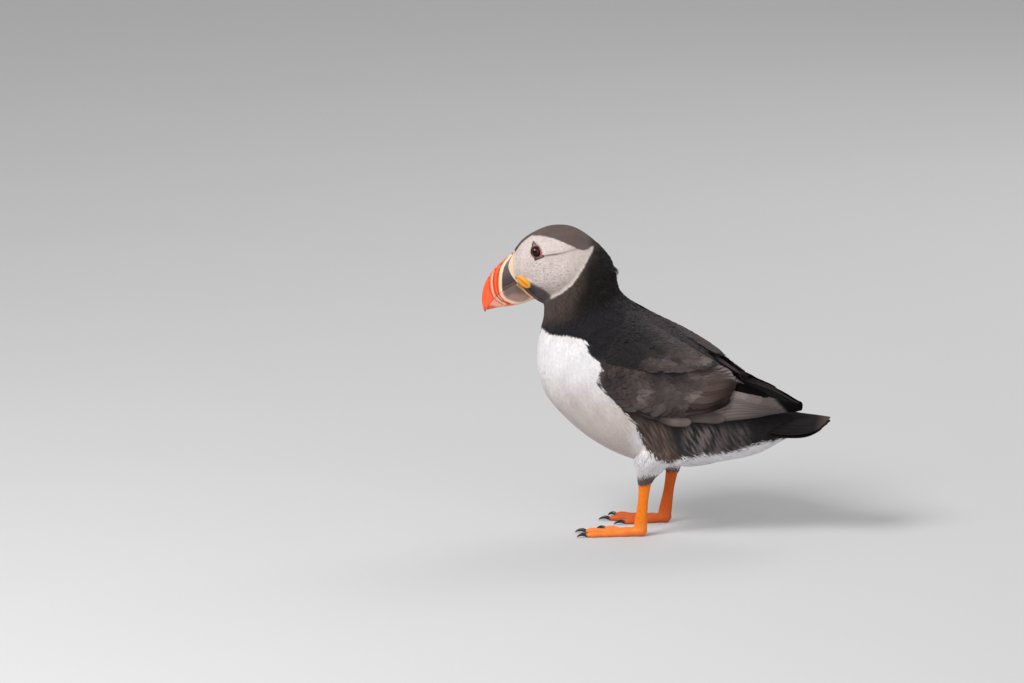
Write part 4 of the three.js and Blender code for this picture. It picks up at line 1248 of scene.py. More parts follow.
def tertials(side, seed):
    """Two dark ones that close the step from the fan down to the primaries. Their near-black is
    partly their own colour and partly painted shade of the hollow between the wings, and on the
    right wing their front is painted lighter as painted light.
    """
    batch = blades(wing_plate(FLIGHT, side), span_of(FLIGHT),
                   lambda u: (0.9, 1.24 - 0.15 * (side > 0) * ease(3, 3.7, u)),
                   [[2.2, 1.11], [2.2, 1.07]], [[4.5, 1.05], [3.9, 1.04]], [3.2, 2.9], [0.9, 1.1],
                   (TIP_BLACK * np.ones((2, 1)), 2 * TIP_BLACK), seed, end=0.4, dark=0.3, rim=0.2)
    lit = (side > 0) * ease(63, 56, batch["points"][..., 0])
    batch["tint"] = mix(batch["tint"], 0.5 * LIT_EDGE_GREY, lit)
    return batch


def wing(name, side):
    """All the feathers of one wing."""
    seed = 70 + side
    scapulars = tiles(SCAPULARS, side, (-0.1, 5.6), 2.2, lambda p: 7 + 6 * ease(-30, 30, p[:, 0]), 0.5,
                      lambda p: -0.45 - 0.1 * mottle(p, 9, 31), scapular_paint, seed)
    coverts = tiles(COVERTS, side, (-0.1, 5.0), 2.4, lambda p: 7 + 6 * ease(-25, 30, p[:, 0]), 0.55,
                    covert_fall, covert_paint, seed + 4, small_covert)
    flight = [primaries(side, seed + 7), secondaries(side, seed + 8), tertials(side, seed + 9)]
    for part, batches, vanes, slot_name in (
            ("scapular", [scapulars], firm, "black_plumage"),
            ("covert", [coverts], firm, "wing_plumage"),
            ("fan", [fan(side, seed + 6)], long_vanes, "wing_plumage"),
            ("flight", flight, long_vanes, "wing_plumage")):
        feather_piece(f"{part}_feathers_{name}", batches, vanes, slot_name)


for name, side in SIDES.items():
    wing(name, side)

# ---------------------------------------------------------------- tail
# Short stiff black feathers in a rounded fan, the middle pair on top, with worn brown tips.

TAIL_BLACK = paint(27, 24, 27)
TAIL_BROWN = paint(62, 54, 52)
TAIL_WORN = paint(90, 77, 71)


def tail_feathers(surface, seed, lift):
    """Fourteen feathers side by side, or seven pairs from the middle outwards."""
    place = np.linspace(-0.92, 0.92, 14)
    rng = np.random.default_rng(seed)
    reach = 5.86 - 1.7 * np.abs(place) ** 2 - rng.uniform(0, 0.35, 14)
    start = np.stack([0.6 + 0 * place, place], -1)
    tip = np.stack([reach, place * (1 + 0.04 * rng.normal(0, 1, 14))], -1)
    batch = blades(surface, lambda u: spline(TAIL, u)[..., 3], (-1, 1), start, tip, 3.2,
                   lift * (1.2 - np.abs(place)), (TAIL_BLACK * np.ones((14, 1)), TAIL_BROWN), seed,
                   rows=22, end=0.07, dark=0.5, rim=0.5)
    batch["tint"] = mix(batch["tint"], TAIL_WORN, 0.8 * ease(110, 117, batch["points"][..., 0]))
    return batch


feather_piece("tail_feathers", [tail_feathers(tail_roof, 90, 0.9), tail_feathers(tail_ceiling, 91, 0.5)],
              long_vanes, "black_plumage")

# ---------------------------------------------------------------- bill
# Tall grooved horn: orange-red in front, slate behind a cream line, with a pale swollen ridge at its
# root and a grey-pink base to the lower half.

BILL = np.array([  # ridge x z, mouth x z, keel x z, half width, bow
    [-96.6, 191.6, -88.5, 172, -83.6, 157.6, 9.8, 3.4],
    [-99.6, 189.3, -94.6, 170.6, -87, 156, 9.2, 3.8],
    [-105.2, 184.5, -99.4, 168, -92.6, 154, 8.2, 3.4],
    [-111.1, 178.6, -104.4, 164.7, -98.6, 152.9, 7, 2.4],
    [-115.6, 172, -108.8, 160.8, -104.4, 152.2, 5.6, 1.4],
    [-118.5, 164.4, -112, 156.8, -109.8, 151.3, 4.1, 0.6],
    [-119.2, 156, -115, 152.6, -113.6, 150.6, 2.6, 0],
    [-117.4, 149, -116.4, 149.2, -115.8, 149.8, 1.2, 0],
])
RIDGE_SHARE = 0.3  # of the root's half width that the ridge and the keel keep
MOUTH_GAP = 0.12
CREAM_LINE = [
    (-99.2, 188.6), (-100.6, 187), (-103.1, 184), (-104.9, 180.8), (-105.9, 177), (-106.3, 172.6),
    (-106.3, 168), (-105.9, 164.2), (-104.9, 160.9), (-102.5, 158), (-99, 156.4), (-95.2, 155.4),
    (-91, 155.6), (-87, 157.4), (-84, 160),
]
GROOVES = [
    [(-105.4, 183.4), (-107.5, 178), (-108.4, 173.3), (-108.5, 168.6), (-107.9, 164.7),
     (-106.6, 161), (-104.1, 157.6), (-99.9, 155.4)],
    [(-109.2, 180.5), (-110.6, 175.5), (-111, 171.5), (-110.7, 167.5), (-109.9, 163.7),
     (-108.3, 160.5), (-105.3, 157.1), (-100.6, 154.9)],
    [(-113.8, 175.8), (-114.3, 172), (-113.9, 167.5), (-113, 163.5), (-111.4, 160),
     (-108.8, 157), (-105, 154.6)],
]
PALE_LINE = [(-110.6, 179), (-111.9, 174.5), (-112.3, 170.6), (-112, 166.7), (-111.3, 162.9),
             (-109.9, 159.7), (-106.8, 156.6), (-103, 154.9)]
MOUTH_LINE = [(-94.6, 170), (-96.2, 168.9), (-100.5, 166.4), (-104.8, 163.4)]
SLATE_ZONE = CREAM_LINE + [(-80, 158), (-80, 194), (-98, 194)]
NOSTRIL = [(-102.6, 168.6), (-97.6, 171.2)]
LOWER_RIM = [(-94.6, 169.6), (-90.4, 166), (-87.5, 163), (-84.2, 160), (-83, 158.2)]
BILL_ORANGE = paint(246, 96, 42)
BILL_RED = paint(190, 44, 22)
BILL_DEEP = paint(150, 46, 30)
BILL_CREAM = paint(250, 218, 186)
BILL_PINK = paint(246, 184, 158)
SLATE = paint(94, 82, 79)
SLATE_DARK = paint(62, 50, 49)
MOUTH_BROWN = paint(100, 68, 56)
NOSTRIL_BLACK = paint(34, 26, 26)
BASE_GREY = paint(164, 130, 122)
RIM_TAN = paint(244, 184, 112)


def bill_surface(outer, t, q, side, lift, grow=0.0):
    """One half of the bill: q runs from the mouth, 0, to the ridge or keel, 1, where it is rounded."""
    row = spline(BILL, t)
    mouth = row[..., 2:4]
    edge = row[..., 0:2] if outer == "ridge" else row[..., 4:6]
    up = edge - mouth
    tall = np.linalg.norm(up, axis=-1)
    unit = up / tall[..., None]
    rise = lift + (tall + grow - lift) * q * 0.975
    bow = row[..., 7] * 4 * q * (1 - q) if outer == "ridge" else 0 * q
    x = mouth[..., 0] + unit[..., 0] * rise - bow
    z = mouth[..., 1] + unit[..., 1] * rise
    taper = RIDGE_SHARE + (1 - RIDGE_SHARE) * np.maximum(1 - q, 0) ** (0.8 if outer == "ridge" else 0.6)
    round_off = np.sqrt(np.maximum(1 - (np.maximum(q - 0.8, 0) / 0.2) ** 2, 0))
    y = (row[..., 6] + grow) * taper * round_off
    return np.stack([x, side * y, z], -1), unit


def groove_depth(x, z, upper):
    """How far the horn is cut at a place: along the grooves and the nostril. It swells along the
    cream line and along the rim where the chin's feathers begin."""
    depth = 0
    for line, amount in zip(GROOVES, (0.45, 0.55, 0.4)):
        depth = np.maximum(depth, amount * np.exp(-(off_line(x, z, line) / 0.45) ** 2))
    depth = depth - 0.3 * np.exp(-(off_line(x, z, CREAM_LINE) / 0.8) ** 2)
    if upper:
        depth = np.maximum(depth, 0.5 * np.exp(-(off_line(x, z, NOSTRIL) / 0.42) ** 2))
    else:
        depth = depth - 0.45 * np.exp(-(off_line(x, z, LOWER_RIM) / 0.7) ** 2)
    return depth


def bill_colour(p, upper):
    """Bands of colour that follow the grooves."""
    x, z = p[:, 0], p[:, 2]
    fine = mottle(p, 2.2, 41)
    soft = mottle(p, 6, 42)
    colour = mix(BILL_ORANGE, BILL_RED, 0.18 * ease(0, 1, soft))
    colour = mix(colour, BILL_DEEP, ease(153, 149.5, z) * ease(-112, -116, x) * 0.8)
    if not upper:
        # painted highlight: pinkish white on the front of the lower bill
        tip = ease(-101, -105.5, x) * ease(152.2, 154, z + 0.32 * (x + 110))
        colour = mix(colour, BILL_PINK, 0.85 * tip)
    pale = ease(0.85, 0.3, off_line(x, z, PALE_LINE)) * ease(180, 174, z)
    colour = mix(colour, BILL_PINK, 0.9 * pale)
    # redder along the grooves, partly the horn's own colour and partly painted shade in them
    for line, amount in zip(GROOVES, (0.8, 0.9, 0.65)):
        colour = mix(colour, BILL_RED, amount * ease(0.65, 0.15, off_line(x, z, line)))
    base = within(x, z, SLATE_ZONE)
    if upper:
        behind = mix(SLATE, SLATE_DARK, ease(181, 171, z - 0.6 * (x + 101)))
        behind = mix(behind, SLATE_DARK, 0.4 * ease(0, 1, soft))
        behind = mix(behind, MOUTH_BROWN, ease(3.5, 0.8, off_line(x, z, MOUTH_LINE)))
        edge = ease(0.8, 0.2, off_line(x, z, MOUTH_LINE)) * ease(-96, -101, x)
        behind = mix(behind, BILL_PINK, 0.75 * edge)
    else:
        behind = mix(BASE_GREY, BILL_PINK, 0.1 * ease(0, 1, soft))
        behind = mix(behind, SLATE, 0.75 * ease(6, 1.5, off_line(x, z, MOUTH_LINE + [(-91, 170)])))
        behind = mix(behind, MOUTH_BROWN, 0.7 * ease(-99, -92, x) * ease(160, 164, z))
        behind = mix(behind, BILL_PINK, 0.5 * ease(2.6, 0.8, off_line(x, z, CREAM_LINE)))
    colour = mix(colour, behind, ease(-0.25, 0.25, base))
    width = 0.62 + 0.38 * ease(186, 178, z)
    cream = ease(width + 0.15, width - 0.15, off_line(x, z, CREAM_LINE))
    colour = mix(colour, BILL_CREAM, cream * (0.95 if upper else 0.88))
    if upper:
        colour = mix(colour, NOSTRIL_BLACK, 0.8 * ease(0.55, 0.2, off_line(x, z, NOSTRIL)))
    else:
        rim = ease(1.1, 0.6, off_line(x, z, LOWER_RIM)) * (0.45 + 0.55 * ease(168, 163, z))
        colour = mix(colour, RIM_TAN, rim)
    return colour * (1 + 0.05 * fine)[:, None]


def head_piece(name, rings_of_points, colours):
    """A closed piece round rings of points on the straight head, turned with it. Its colours may be
    a function of its points."""
    points, faces = shell(rings_of_points)
    piece = new_piece(name, turned(points), faces)
    set_tint(piece, colours(points) if callable(colours) else colours)
    return piece


def bill_half(name, outer, t_range, upper):
    """A closed half of the bill: up one flank, over the ridge, down the other and across the mouth."""
    t = np.linspace(*t_range, 300)[:, None]
    q = np.sin(np.linspace(0, np.pi / 2, 64))[None]
    sides = []
    for side, share in ((1, q), (-1, q[:, ::-1])):
        p, unit = bill_surface(outer, t + 0 * share, share + 0 * t, side, MOUTH_GAP)
        cut = groove_depth(p[..., 0], p[..., 2], upper)
        p[..., 1] -= side * np.minimum(cut, 0.6 * np.abs(p[..., 1]))
        ridge = ease(0.8, 1, share) * cut
        p[..., 0] -= unit[..., 0] * ridge
        p[..., 2] -= unit[..., 1] * ridge
        sides.append(p)
    across = np.linspace(-1, 1, 11)[None, 1:-1, None]
    lower = sides[1][:, -1:] * (1 - across) / 2 + sides[0][:, :1] * (1 + across) / 2
    return head_piece(name, np.concatenate(sides + [lower], 1),
                      lambda points: np.clip(bill_colour(points, upper), 0, 1))


def horn(name, rough, coat_weight, depth):
    """Smooth horn with fine growth lines."""
    return tinted(name, 700.0, 0.16, rough, depth, Coat_Weight=coat_weight, Coat_Roughness=0.25,
                  Subsurface_Weight=0.06, Subsurface_Scale=0.002)


bill_horn = horn("grooved bill horn", 0.38, 0.2, 0.00004)
fitted(bill_half("upper_bill", "ridge", (-0.3, 7), True), bill_horn, "bill_horn", "bill_upper")
fitted(bill_half("lower_bill", "keel", (-0.3, 6.5), False), bill_horn, "bill_base_horn", "bill_lower")

# The cere: a swollen, pitted cream ridge where the upper bill meets the feathers.
CERE_CREAM = paint(224, 200, 176)
CERE_PIT = paint(208, 176, 138)
CERE_ORANGE = paint(222, 168, 104)
CERE_SEAM = [(-97.4, 190.6), (-97.2, 186), (-97, 181), (-96.4, 177)]


def cere_colour(points):
    """Cream, darker in its pits and orange along the seam with the feathers."""
    pits = ease(0.35, 0.8, mottle(points, 1.5, 61))
    seam = ease(0.9, 0.3, off_line(points[:, 0], points[:, 2], CERE_SEAM))
    return layered(CERE_CREAM, (CERE_PIT, 0.6 * pits), (CERE_ORANGE, 0.5 * seam))


run = np.linspace(0, 1.5, 70)[:, None]
q = np.sin(np.linspace(0, np.pi / 2, 70))[None]
t = -0.5 + run * (0.97 - 0.34 * ease(0.55, 1, q))
swell = 0.55 * np.sqrt(np.clip(1 - ((run - 0.75) / 0.75) ** 2, 0, 1)) + 0 * q
halves = [bill_surface("ridge", t, q + 0 * t, 1, 0.1, swell)[0],
          bill_surface("ridge", t[:, ::-1], q[:, ::-1] + 0 * t, -1, 0.1, swell[:, ::-1])[0]]
cere = head_piece("cere_ridge", np.concatenate(halves, 1), cere_colour)
fitted(cere, horn("pitted cream cere", 0.5, 0.05, 0.0002), "cere", "bill_cere")

# ---------------------------------------------------------------- rosettes
# A wrinkled cushion of yellow skin in each corner of the mouth, folded along its middle.

ROSETTE_SIZE = (5.9, 3.3, 2.2)
ROSETTE_YELLOW = paint(228, 154, 4)
ROSETTE_FOLD = paint(182, 76, 4)
ROSETTE_RIM = paint(244, 194, 50)


def rosette(name, side):
    """A flattened ball whose thickness is puckered by folds that run along it."""
    long = np.array([9, side * 4.6, -6.6])
    long /= np.linalg.norm(long)
    wide = np.cross(np.array([-0.5, side, 0.1]), long)
    wide /= np.linalg.norm(wide)
    up = np.cross(long, wide)
    t, angle = rings(0.02, np.pi - 0.02, 60, 96)
    i, j, k = np.cos(t), np.sin(t) * np.cos(angle), np.sin(t) * np.sin(angle)
    fold = np.exp(-(j / 0.13) ** 2) * ease(0.95, 0.5, np.abs(i))
    wrinkle = 0.05 * np.sin(17 * j + 2.2 * np.sin(4 * i)) + 0.03 * np.sin(26 * i + 3 * j)
    size = 1 + 0.35 * np.abs(k) * (wrinkle - 0.32 * fold)
    face_on = np.sign(k) * np.abs(k) ** 0.8
    p = (long * (ROSETTE_SIZE[0] * i)[..., None] + wide * (ROSETTE_SIZE[1] * j)[..., None]
         + up * (ROSETTE_SIZE[2] * face_on * size)[..., None])
    # the fold and the wrinkles' hollows are orange, partly the skin's own colour and partly painted shade in
    # them
    crease = np.append(fold.ravel() + 4 * np.maximum(-wrinkle.ravel(), 0), [0, 0])
    rim = np.append(ease(0.75, 1, np.hypot(i, j)).ravel(), [1, 1])
    tint = layered(ROSETTE_YELLOW, (ROSETTE_FOLD, np.clip(0.9 * crease, 0, 1)), (ROSETTE_RIM, 0.5 * rim))
    return head_piece(name, p + ROSETTE_AT * np.array([1, side, 1]), tint)


wrinkled = horn("wrinkled rosette skin", 0.48, 0.15, 0.00012)
for name, side in SIDES.items():
    fitted(rosette(f"rosette_skin_{name}", side), wrinkled, "rosette_skin", f"rosette_{name}")

# ---------------------------------------------------------------- eyes
# A dark glossy eye in a red ring of bare skin, with a pointed grey plate over it and a bar under it.

PUPIL_BLACK = paint(4, 3, 4)
IRIS_BROWN = paint(74, 30, 26)
EYE_EDGE = paint(44, 12, 16)
LID_WIDTH = 0.55
LID_RED = paint(124, 44, 52)
LID_ORANGE = paint(204, 82, 52)
LID_INNER = paint(56, 16, 18)
UPPER_PLATE_GREY = paint(140, 106, 106)
LOWER_PLATE_BROWN = paint(80, 38, 30)


def on_face(x, z):
    """Ring and angle of the place on the right side of the face at x and z, by Newton's steps."""
    s, angle = 1.5 + 0 * x, 1.2 + 0 * x
    for _ in range(14):
        here = straight_body(s, angle, 0 * s)
        by_s = (straight_body(s + SLOPE_STEP, angle, 0 * s) - here) / SLOPE_STEP
        by_angle = (straight_body(s, angle + SLOPE_STEP, 0 * s) - here) / SLOPE_STEP
        dx, dz = x - here[..., 0], z - here[..., 2]
        det = by_s[..., 0] * by_angle[..., 2] - by_s[..., 2] * by_angle[..., 0]
        s = s + 0.8 * (dx * by_angle[..., 2] - dz * by_angle[..., 0]) / det
        angle = angle + 0.8 * (by_s[..., 0] * dz - by_s[..., 2] * dx) / det
    return s, angle


def face_place(x, z, side, h):
    """The point of the face at x and z, raised h off it."""
    s, angle = on_face(x, z)
    p = straight_body(s, angle, h)
    p[..., 0], p[..., 2] = x, z
    return p * np.array([1, side, 1])


def eye(name, side):
    """A ball whose colour goes from pupil to iris to a dark edge by the distance off its outward
    axis."""
    t, angle = rings(0.001, np.pi - 0.001, 96, 96)
    out = np.array([-0.22, side * 1.0, -0.02])
    out /= np.linalg.norm(out)
    over = np.array([0, 0, 1.0]) - out[2] * out
    over /= np.linalg.norm(over)
    fore = np.cross(out, over)
    ball = (out * np.cos(t)[..., None] + over * (np.sin(t) * np.cos(angle))[..., None]
            + fore * (np.sin(t) * np.sin(angle))[..., None])
    off = np.append(EYE_RADIUS * np.sin(np.minimum(t, 1.57)).ravel(), [0, EYE_RADIUS])
    tint = layered(PUPIL_BLACK, (IRIS_BROWN, ease(1.75, 2.0, off)), (EYE_EDGE, ease(2.6, 3.0, off)))
    return head_piece(name, EYE * np.array([1, side, 1]) + EYE_RADIUS * ball, tint)


def lid(name, side, count=96, sides=16):
    """A thin fleshy ring round the eye, drawn out into a corner behind it."""
    angle, round_it = np.meshgrid(full_turn(count), full_turn(sides), indexing="ij")
    corner = 0.32 * ease(0.8, 1, np.cos(angle + 0.55)) * (1 + np.cos(round_it))
    wide = EYE_OPENING + LID_WIDTH * np.cos(round_it) + corner
    x = EYE[0] + wide * np.cos(angle)
    z = EYE[2] + wide * np.sin(angle) * 0.97
    points = face_place(x, z, side, -0.1 + 0.55 * np.sin(round_it)).reshape(-1, 3)
    last = (count - 1) * sides
    faces = grid_faces(count, sides, True).tolist()
    faces += [[last + c, last + (c + 1) % sides, (c + 1) % sides, c] for c in range(sides)]
    if side > 0:
        faces = [f[::-1] for f in faces]
    piece = new_piece(name, turned(points), faces)
    inner = ease(0.3, -0.5, np.cos(round_it)).ravel()
    warm = ease(0.2, 0.8, np.cos(angle + 0.6)).ravel()
    set_tint(piece, layered(LID_RED, (LID_ORANGE, warm), (LID_INNER, 0.8 * inner)))
    return piece


def eye_plate(name, outline, side, rise, tone):
    """A horny plate: its outline shrinks towards the middle as its height rounds up to the rise."""
    ring = np.array(outline + outline[:1], float)
    along = np.linspace(0, len(outline), 97)[:-1]
    i = np.floor(along).astype(int)
    edge = ring[i] + (ring[i + 1] - ring[i]) * (along - i)[:, None]
    middle = np.array(outline).mean(0)
    share = np.cos(np.linspace(0, np.pi / 2, 13))[:, None]
    x = middle[0] + (edge[:, 0] - middle[0]) * share
    z = middle[1] + (edge[:, 1] - middle[1]) * share
    top = face_place(x, z, side, 0.1 + rise * (1 - share ** 2) ** 0.35 + 0 * x)
    base = face_place(x[:1], z[:1], side, -0.8 + 0 * x[:1])
    high = np.append(np.append(0 * along, (share + 0 * x).ravel()), [1, 0])
    tint = mix(tone, 0.45 * tone, ease(0.2, 0.95, high))
    return head_piece(name, np.concatenate([base, top]), tint)


eyeball_gloss = tinted("glossy eyeball", 1500.0, 0.4, 0.12, 0.0, Coat_Weight=0.12, Coat_Roughness=0.05,
                       Specular_IOR_Level=0.25)
lid_skin = horn("red eye ring", 0.45, 0.2, 0.00005)
plate_horn = horn("grey eye plate", 0.5, 0.1, 0.00005)
for name, side in SIDES.items():
    fitted(eye(f"eyeball_{name}", side), eyeball_gloss, "eyeball", f"eye_{name}")
    fitted(lid(f"eye_ring_{name}", side), lid_skin, "eyeball")
    for level, outline, rise, tone in (("upper", UPPER_PLATE, 0.8, UPPER_PLATE_GREY),
                                       ("lower", LOWER_PLATE, 0.7, LOWER_PLATE_BROWN)):
        plate = eye_plate(f"{level}_eye_plate_{name}", outline, side, rise, tone)
        fitted(plate, plate_horn, "eye_plate_horn", f"eye_plate_{level}_{name}")

# ---------------------------------------------------------------- legs, feet and claws
# Bare orange scaly legs. Each foot has three toes joined by webs, and a curved black claw on each.

SHANK = np.array([[4.5, 2.9], [3.8, 2.5], [3.6, 2.3], [4.1, 2.7], [4.6, 3.4]])
TOES = {"inner": (-24, 29, 7), "middle": (-3, 38.5, 7), "outer": (17, 37.5, 6)}  # degrees, length, claw
TOE_RADII = np.array([[3.6, 3.3], [2.9, 2.6], [2.2, 2.1], [2.3, 2.2], [1.9, 1.8]])
TOE_HEIGHTS = np.array([3.4, 2.5, 1.8, 1.7, 1.5])
ANKLE = (4.7, 3.9, 4.2)
WEB_TOP, WEB_UNDER = 1.15, 0.12
SOLE = 0.02  # lowest height of a foot or claw
LEG_VOXEL = 0.4
LEG_ORANGE = paint(245, 128, 2)
WEB_RED = paint(238, 94, 10)
LEG_YELLOW = paint(250, 146, 26)
LEG_RED = paint(214, 82, 14)
TOE_ORANGE = paint(255, 142, 62)
# painted shade of the right leg, the one away from the light
FAR_LEG_SHADE = paint(184, 54, 6)
SOLE_BROWN = paint(140, 60, 20)


def tube(path, radii, across, up, sides=24):
    """A round limb: rings of the two radii, set along a path, with one across and up for all."""
    angle = full_turn(sides)
    ring = (np.array(up) * (radii[:, :1] * np.cos(angle))[..., None]
            + np.array(across) * (radii[:, 1:] * np.sin(angle))[..., None])
    return shell(path[:, None] + ring)


def toe_way(toe, side):
    """The level direction in which a toe points: ahead, turned by its spread."""
    spread = math.radians(TOES[toe][0])
    return np.array([-math.cos(spread), side * math.sin(spread), 0.0])


def leg_parts(name, side):
    """The closed shells of a bare leg: shank, ankle, toes with knuckles, and the two webs."""
    _, knee, foot = leg_line(name)
    ground = foot * [1, 1, 0]
    share = np.linspace(-0.2, 1.12, 42)
    parts = [tube(knee + (foot - knee) * share[:, None], spline(SHANK, share * 4), [0, 1.0, 0], [1.0, 0, 0])]
    t, angle = rings(0.05, np.pi - 0.05, 16, 24)
    ball = np.stack([ANKLE[0] * np.sin(t) * np.cos(angle), ANKLE[1] * np.sin(t) * np.sin(angle),
                     ANKLE[2] * np.cos(t)], -1)
    parts.append(shell(ball + ground + [0, 0, 4]))
    for toe, (_, length, _) in TOES.items():
        way = toe_way(toe, side)
        share = np.linspace(0, 1, 50)
        knuckles = 1 + 0.1 * np.cos(2 * np.pi * (share * (2.6 if toe == "inner" else 3.6)) - 0.4)
        radii = spline(TOE_RADII, share * 4) * (knuckles * np.sqrt(ease(1.06, 0.9, share)))[:, None]
        path = ground + way * (length * share)[:, None]
        path[:, 2] = spline(TOE_HEIGHTS[:, None], share * 4)[:, 0]
        parts.append(tube(path, radii, [-way[1], way[0], 0], [0, 0, 1.0], 20))
    for first, second in (("inner", "middle"), ("middle", "outer")):
        ways = [toe_way(n, side) * TOES[n][1] for n in (first, second)]
        out = np.linspace(0.04, 0.95, 60)[:, None]
        over = np.linspace(0, 1, 30)[None]
        far = out * (1 - 0.16 * 4 * over * (1 - over))
        web = ground + ways[0] * ((1 - over) * far)[..., None] + ways[1] * (over * far)[..., None]
        top, under = web.copy(), web.copy()
        top[..., 2] = WEB_TOP + 0.12 * np.sin(over * 22) * ease(0.2, 0.7, out) + 0.25 * (1 - out)
        under[..., 2] = WEB_UNDER
        parts.append(shell(np.concatenate([top, under[:, ::-1]], 1)))
    return parts


def along_toes(p, name, side):
    """For each toe, how far points lie along it from the ankle and how far beside its middle."""
    x, y = (p[:, :2] - leg_line(name)[2, :2]).T
    ways = [toe_way(toe, side) for toe in TOES]
    return [(x * way[0] + y * way[1], np.abs(x * way[1] - y * way[0])) for way in ways]


def leg_tint(p, name, side):
    """Orange, yellower on the shank and toes, redder in the webs and browner at the very bottom, with
    painted shade that darkens the right leg.
    """
    z = p[:, 2]
    reach = np.hypot(*(p[:, :2] - leg_line(name)[2, :2]).T)
    nearest = np.full(len(p), 9.0)
    for run, off in along_toes(p, name, side):
        nearest = np.minimum(nearest, np.where(run > 0, off, reach))
    return layered(
        LEG_ORANGE,
        (WEB_RED, ease(1.6, 3, nearest) * ease(4.5, 2.5, z)),
        (LEG_YELLOW, 0.3 * ease(0, 1, mottle(p, 4, 51))),
        (LEG_RED, 0.25 * ease(0.1, 1, mottle(p, 2.4, 52))),
        (TOE_ORANGE, 0.7 * ease(12, 5, z)),
        # painted shade on the right leg
        (FAR_LEG_SHADE, 0.62 * (side > 0)),
        (SOLE_BROWN, 0.5 * ease(1.2, 0.1, z)))


def scutes(p, name, side):
    """Height of the scales: low steps across the front of the shank and the tops of the toes."""
    _, knee, foot = leg_line(name)
    x, z = p[:, 0] - foot[0], p[:, 2]
    best, height = np.full(len(p), 2.4), np.zeros(len(p))
    for run, off in along_toes(p, name, side):
        near = (off < best) & (run > 2)
        step = np.abs(np.sin(np.pi * run / 1.5))
        height = np.where(near, (step - 0.6) * ease(2.4, 1.2, off) * ease(1.2, 2.2, z), height)
        best = np.where(near, off, best)
    shank = ease(7.5, 9.5, z)
    front = ease(2, -2, x - (z - 7) * (knee[0] - foot[0]) / (knee[2] - foot[2]))
    hoops = (np.abs(np.sin(np.pi * z / 1.7)) - 0.6) * (0.35 + 0.65 * front)
    return 0.24 * (height * (1 - shank) + hoops * shank)


def leg_looks(tree):
    """Worn orange with a net of darker lines between small scales."""
    worn = uneven(tree, tint_of(tree), 600.0, 0.2)
    place = node(tree, "ShaderNodeTexCoord").outputs["Object"]
    scales = node(tree, "ShaderNodeTexVoronoi", {"Vector": place, "Scale": 1100.0},
                  feature="DISTANCE_TO_EDGE")
    line = node(tree, "ShaderNodeMapRange", {
        "Value": scales.outputs["Distance"], "From Min": 0.0, "From Max": 0.2, "To Min": 0.88,
        "To Max": 1.0}).outputs[0]
    return scaled(tree, worn["Color"], line), 0.46, line, 0.00012


scaly = finish_of("scaly orange skin", leg_looks, Subsurface_Weight=0.08, Subsurface_Scale=0.003,
                  Coat_Weight=0.05, Coat_Roughness=0.35, Specular_IOR_Level=0.3)
for name, side in SIDES.items():
    bare = melted(new_piece(f"bare_leg_{name}", *joined(leg_parts(name, side))), LEG_VOXEL)
    spots = points_of(bare)
    out = np.zeros(len(spots) * 3, np.float32)
    bare.data.vertices.foreach_get("normal", out)
    raised = spots + out.reshape(-1, 3) * scutes(spots, name, side)[:, None]
    raised[:, 2] = np.maximum(raised[:, 2], SOLE)
    set_points(bare, raised)
    set_tint(bare, leg_tint(raised, name, side))
    fitted(bare, scaly, "leg_skin", f"shank_{name}", f"foot_{name}")

CLAW_ROOT = paint(52, 42, 36)
CLAW_BLACK = paint(20, 17, 16)


def claw(name, toe, side):
    """A curved, tapered claw: it rises out of the toe and bends down to a point at the floor."""
    foot, way = leg_line(name)[2], toe_way(toe, side)
    _, length, reach = TOES[toe]
    share = np.linspace(-0.45, 1, 30)
    path = foot * [1, 1, 0] + way * (length + reach * share)[:, None]
    path[:, 2] = 1.75 + 1.25 * share * (1 - share) * 2 - 1.25 * np.maximum(share, 0) ** 2
    size = np.sqrt(np.clip(1 - np.maximum(share, 0) ** 1.6, 0.02, 1))
    radii = np.stack([1.3 * size, 1.1 * size], -1)
    points, faces = tube(path, radii, [-way[1], way[0], 0], [0, 0, 1.0], 18)
    points[:, 2] = np.maximum(points[:, 2], SOLE)
    piece = new_piece(f"{toe}_claw_{name}", points, faces)
    along = (points - foot) @ way - length
    set_tint(piece, mix(CLAW_ROOT, CLAW_BLACK, ease(-1, 3, along)))
    return piece


claw_horn = horn("black claw horn", 0.35, 0.3, 0.00005)
for name, side in SIDES.items():
    for toe in TOES:
        fitted(claw(name, toe, side), claw_horn, "claw_horn", f"claw_{toe}_{name}")

# ---------------------------------------------------------------- floor, light and camera
# A plain pale floor, a soft white room, three large soft lamps and a long lens.

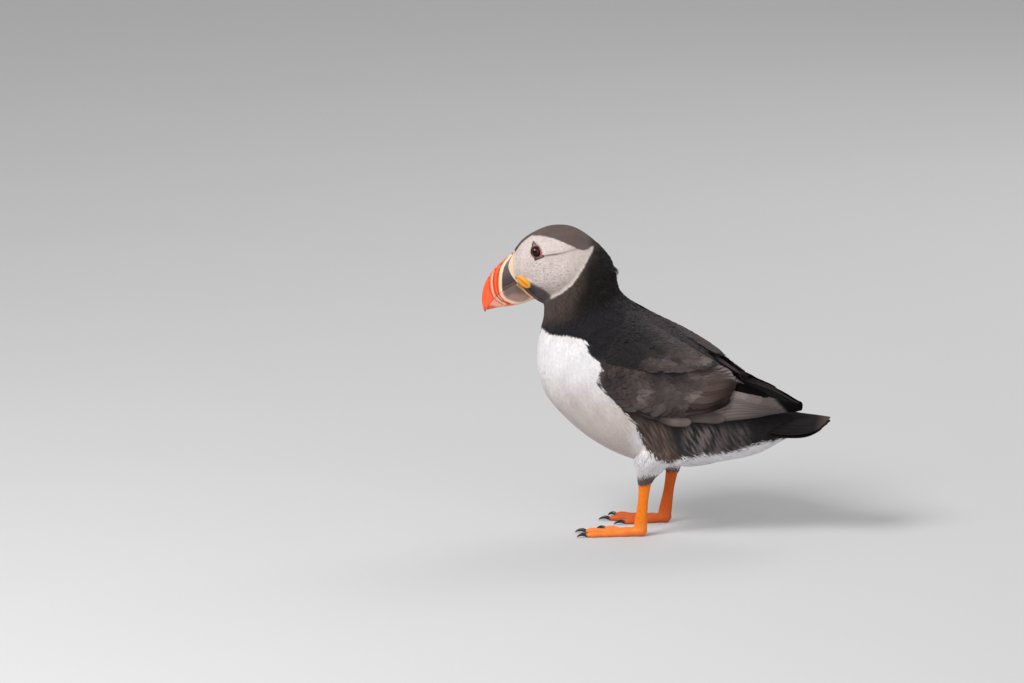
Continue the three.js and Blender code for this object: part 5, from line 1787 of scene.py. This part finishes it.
FLOOR_REACH = 9000
corners = np.array([(-1, -1, 0), (1, -1, 0), (1, 1, 0), (-1, 1, 0)])
floor = new_piece("floor", corners * FLOOR_REACH, [(0, 1, 2, 3)])


def floor_looks(tree):
    """Pale grey with faint soft patches."""
    soft = uneven(tree, (0.62, 0.63, 0.65, 1), 6.0, 0.03)
    return soft["Color"], 0.9, soft["Height"], 0.0


floor.data.materials.append(finish_of("pale floor", floor_looks))

world = bpy.data.worlds.new("soft room")
world.use_nodes = True
room = world.node_tree.nodes["Background"].inputs
room["Color"].default_value = (1.0, 0.98, 0.96, 1)
room["Strength"].default_value = 0.44
bpy.context.scene.world = world
bpy.context.scene.view_settings.view_transform = "Standard"


def lamp(name, place, size, power, colour):
    """A large soft panel that faces the bird."""
    light = bpy.data.lights.new(name, "AREA")
    light.size = size
    light.energy = power
    light.color = colour
    panel = in_scene(name, light)
    spot = np.array(place, float)
    aim = np.array([0, 0, 0.12]) - spot
    tilt = math.atan2(math.hypot(aim[0], aim[1]), -aim[2])
    panel.location = spot
    panel.rotation_euler = (tilt, 0, math.atan2(aim[0], -aim[1]) + math.pi)


lamp("key", (-0.9, -1.1, 1.5), 0.8, 30, (1.0, 0.98, 0.95))
lamp("fill", (1.1, -1.4, 0.7), 1.4, 5, (1.0, 0.98, 0.96))
lamp("back", (0.6, 1.3, 1.2), 0.9, 7, (1.0, 1.0, 1.0))

AZIMUTH, HEIGHT = math.radians(10), math.radians(12)
CAMERA_PLACE = (-97.92, 127.5, 7737)  # mm to its right, up and back from the middle of the floor
level = np.array([math.cos(AZIMUTH), math.sin(AZIMUTH), 0])
inward = np.array([-math.sin(AZIMUTH), math.cos(AZIMUTH), 0])
upright = np.array([0, 0, 1])
axes = np.array([
    level,
    inward * math.sin(HEIGHT) + upright * math.cos(HEIGHT),
    upright * math.sin(HEIGHT) - inward * math.cos(HEIGHT),
])
lens = bpy.data.cameras.new("camera")
lens.lens = 400
lens.sensor_width = 36
lens.clip_end = 50
camera = in_scene("camera", lens)
camera.location = CAMERA_PLACE @ axes * MM
camera.rotation_euler = (math.pi / 2 - HEIGHT, 0, AZIMUTH)
bpy.context.scene.camera = camera
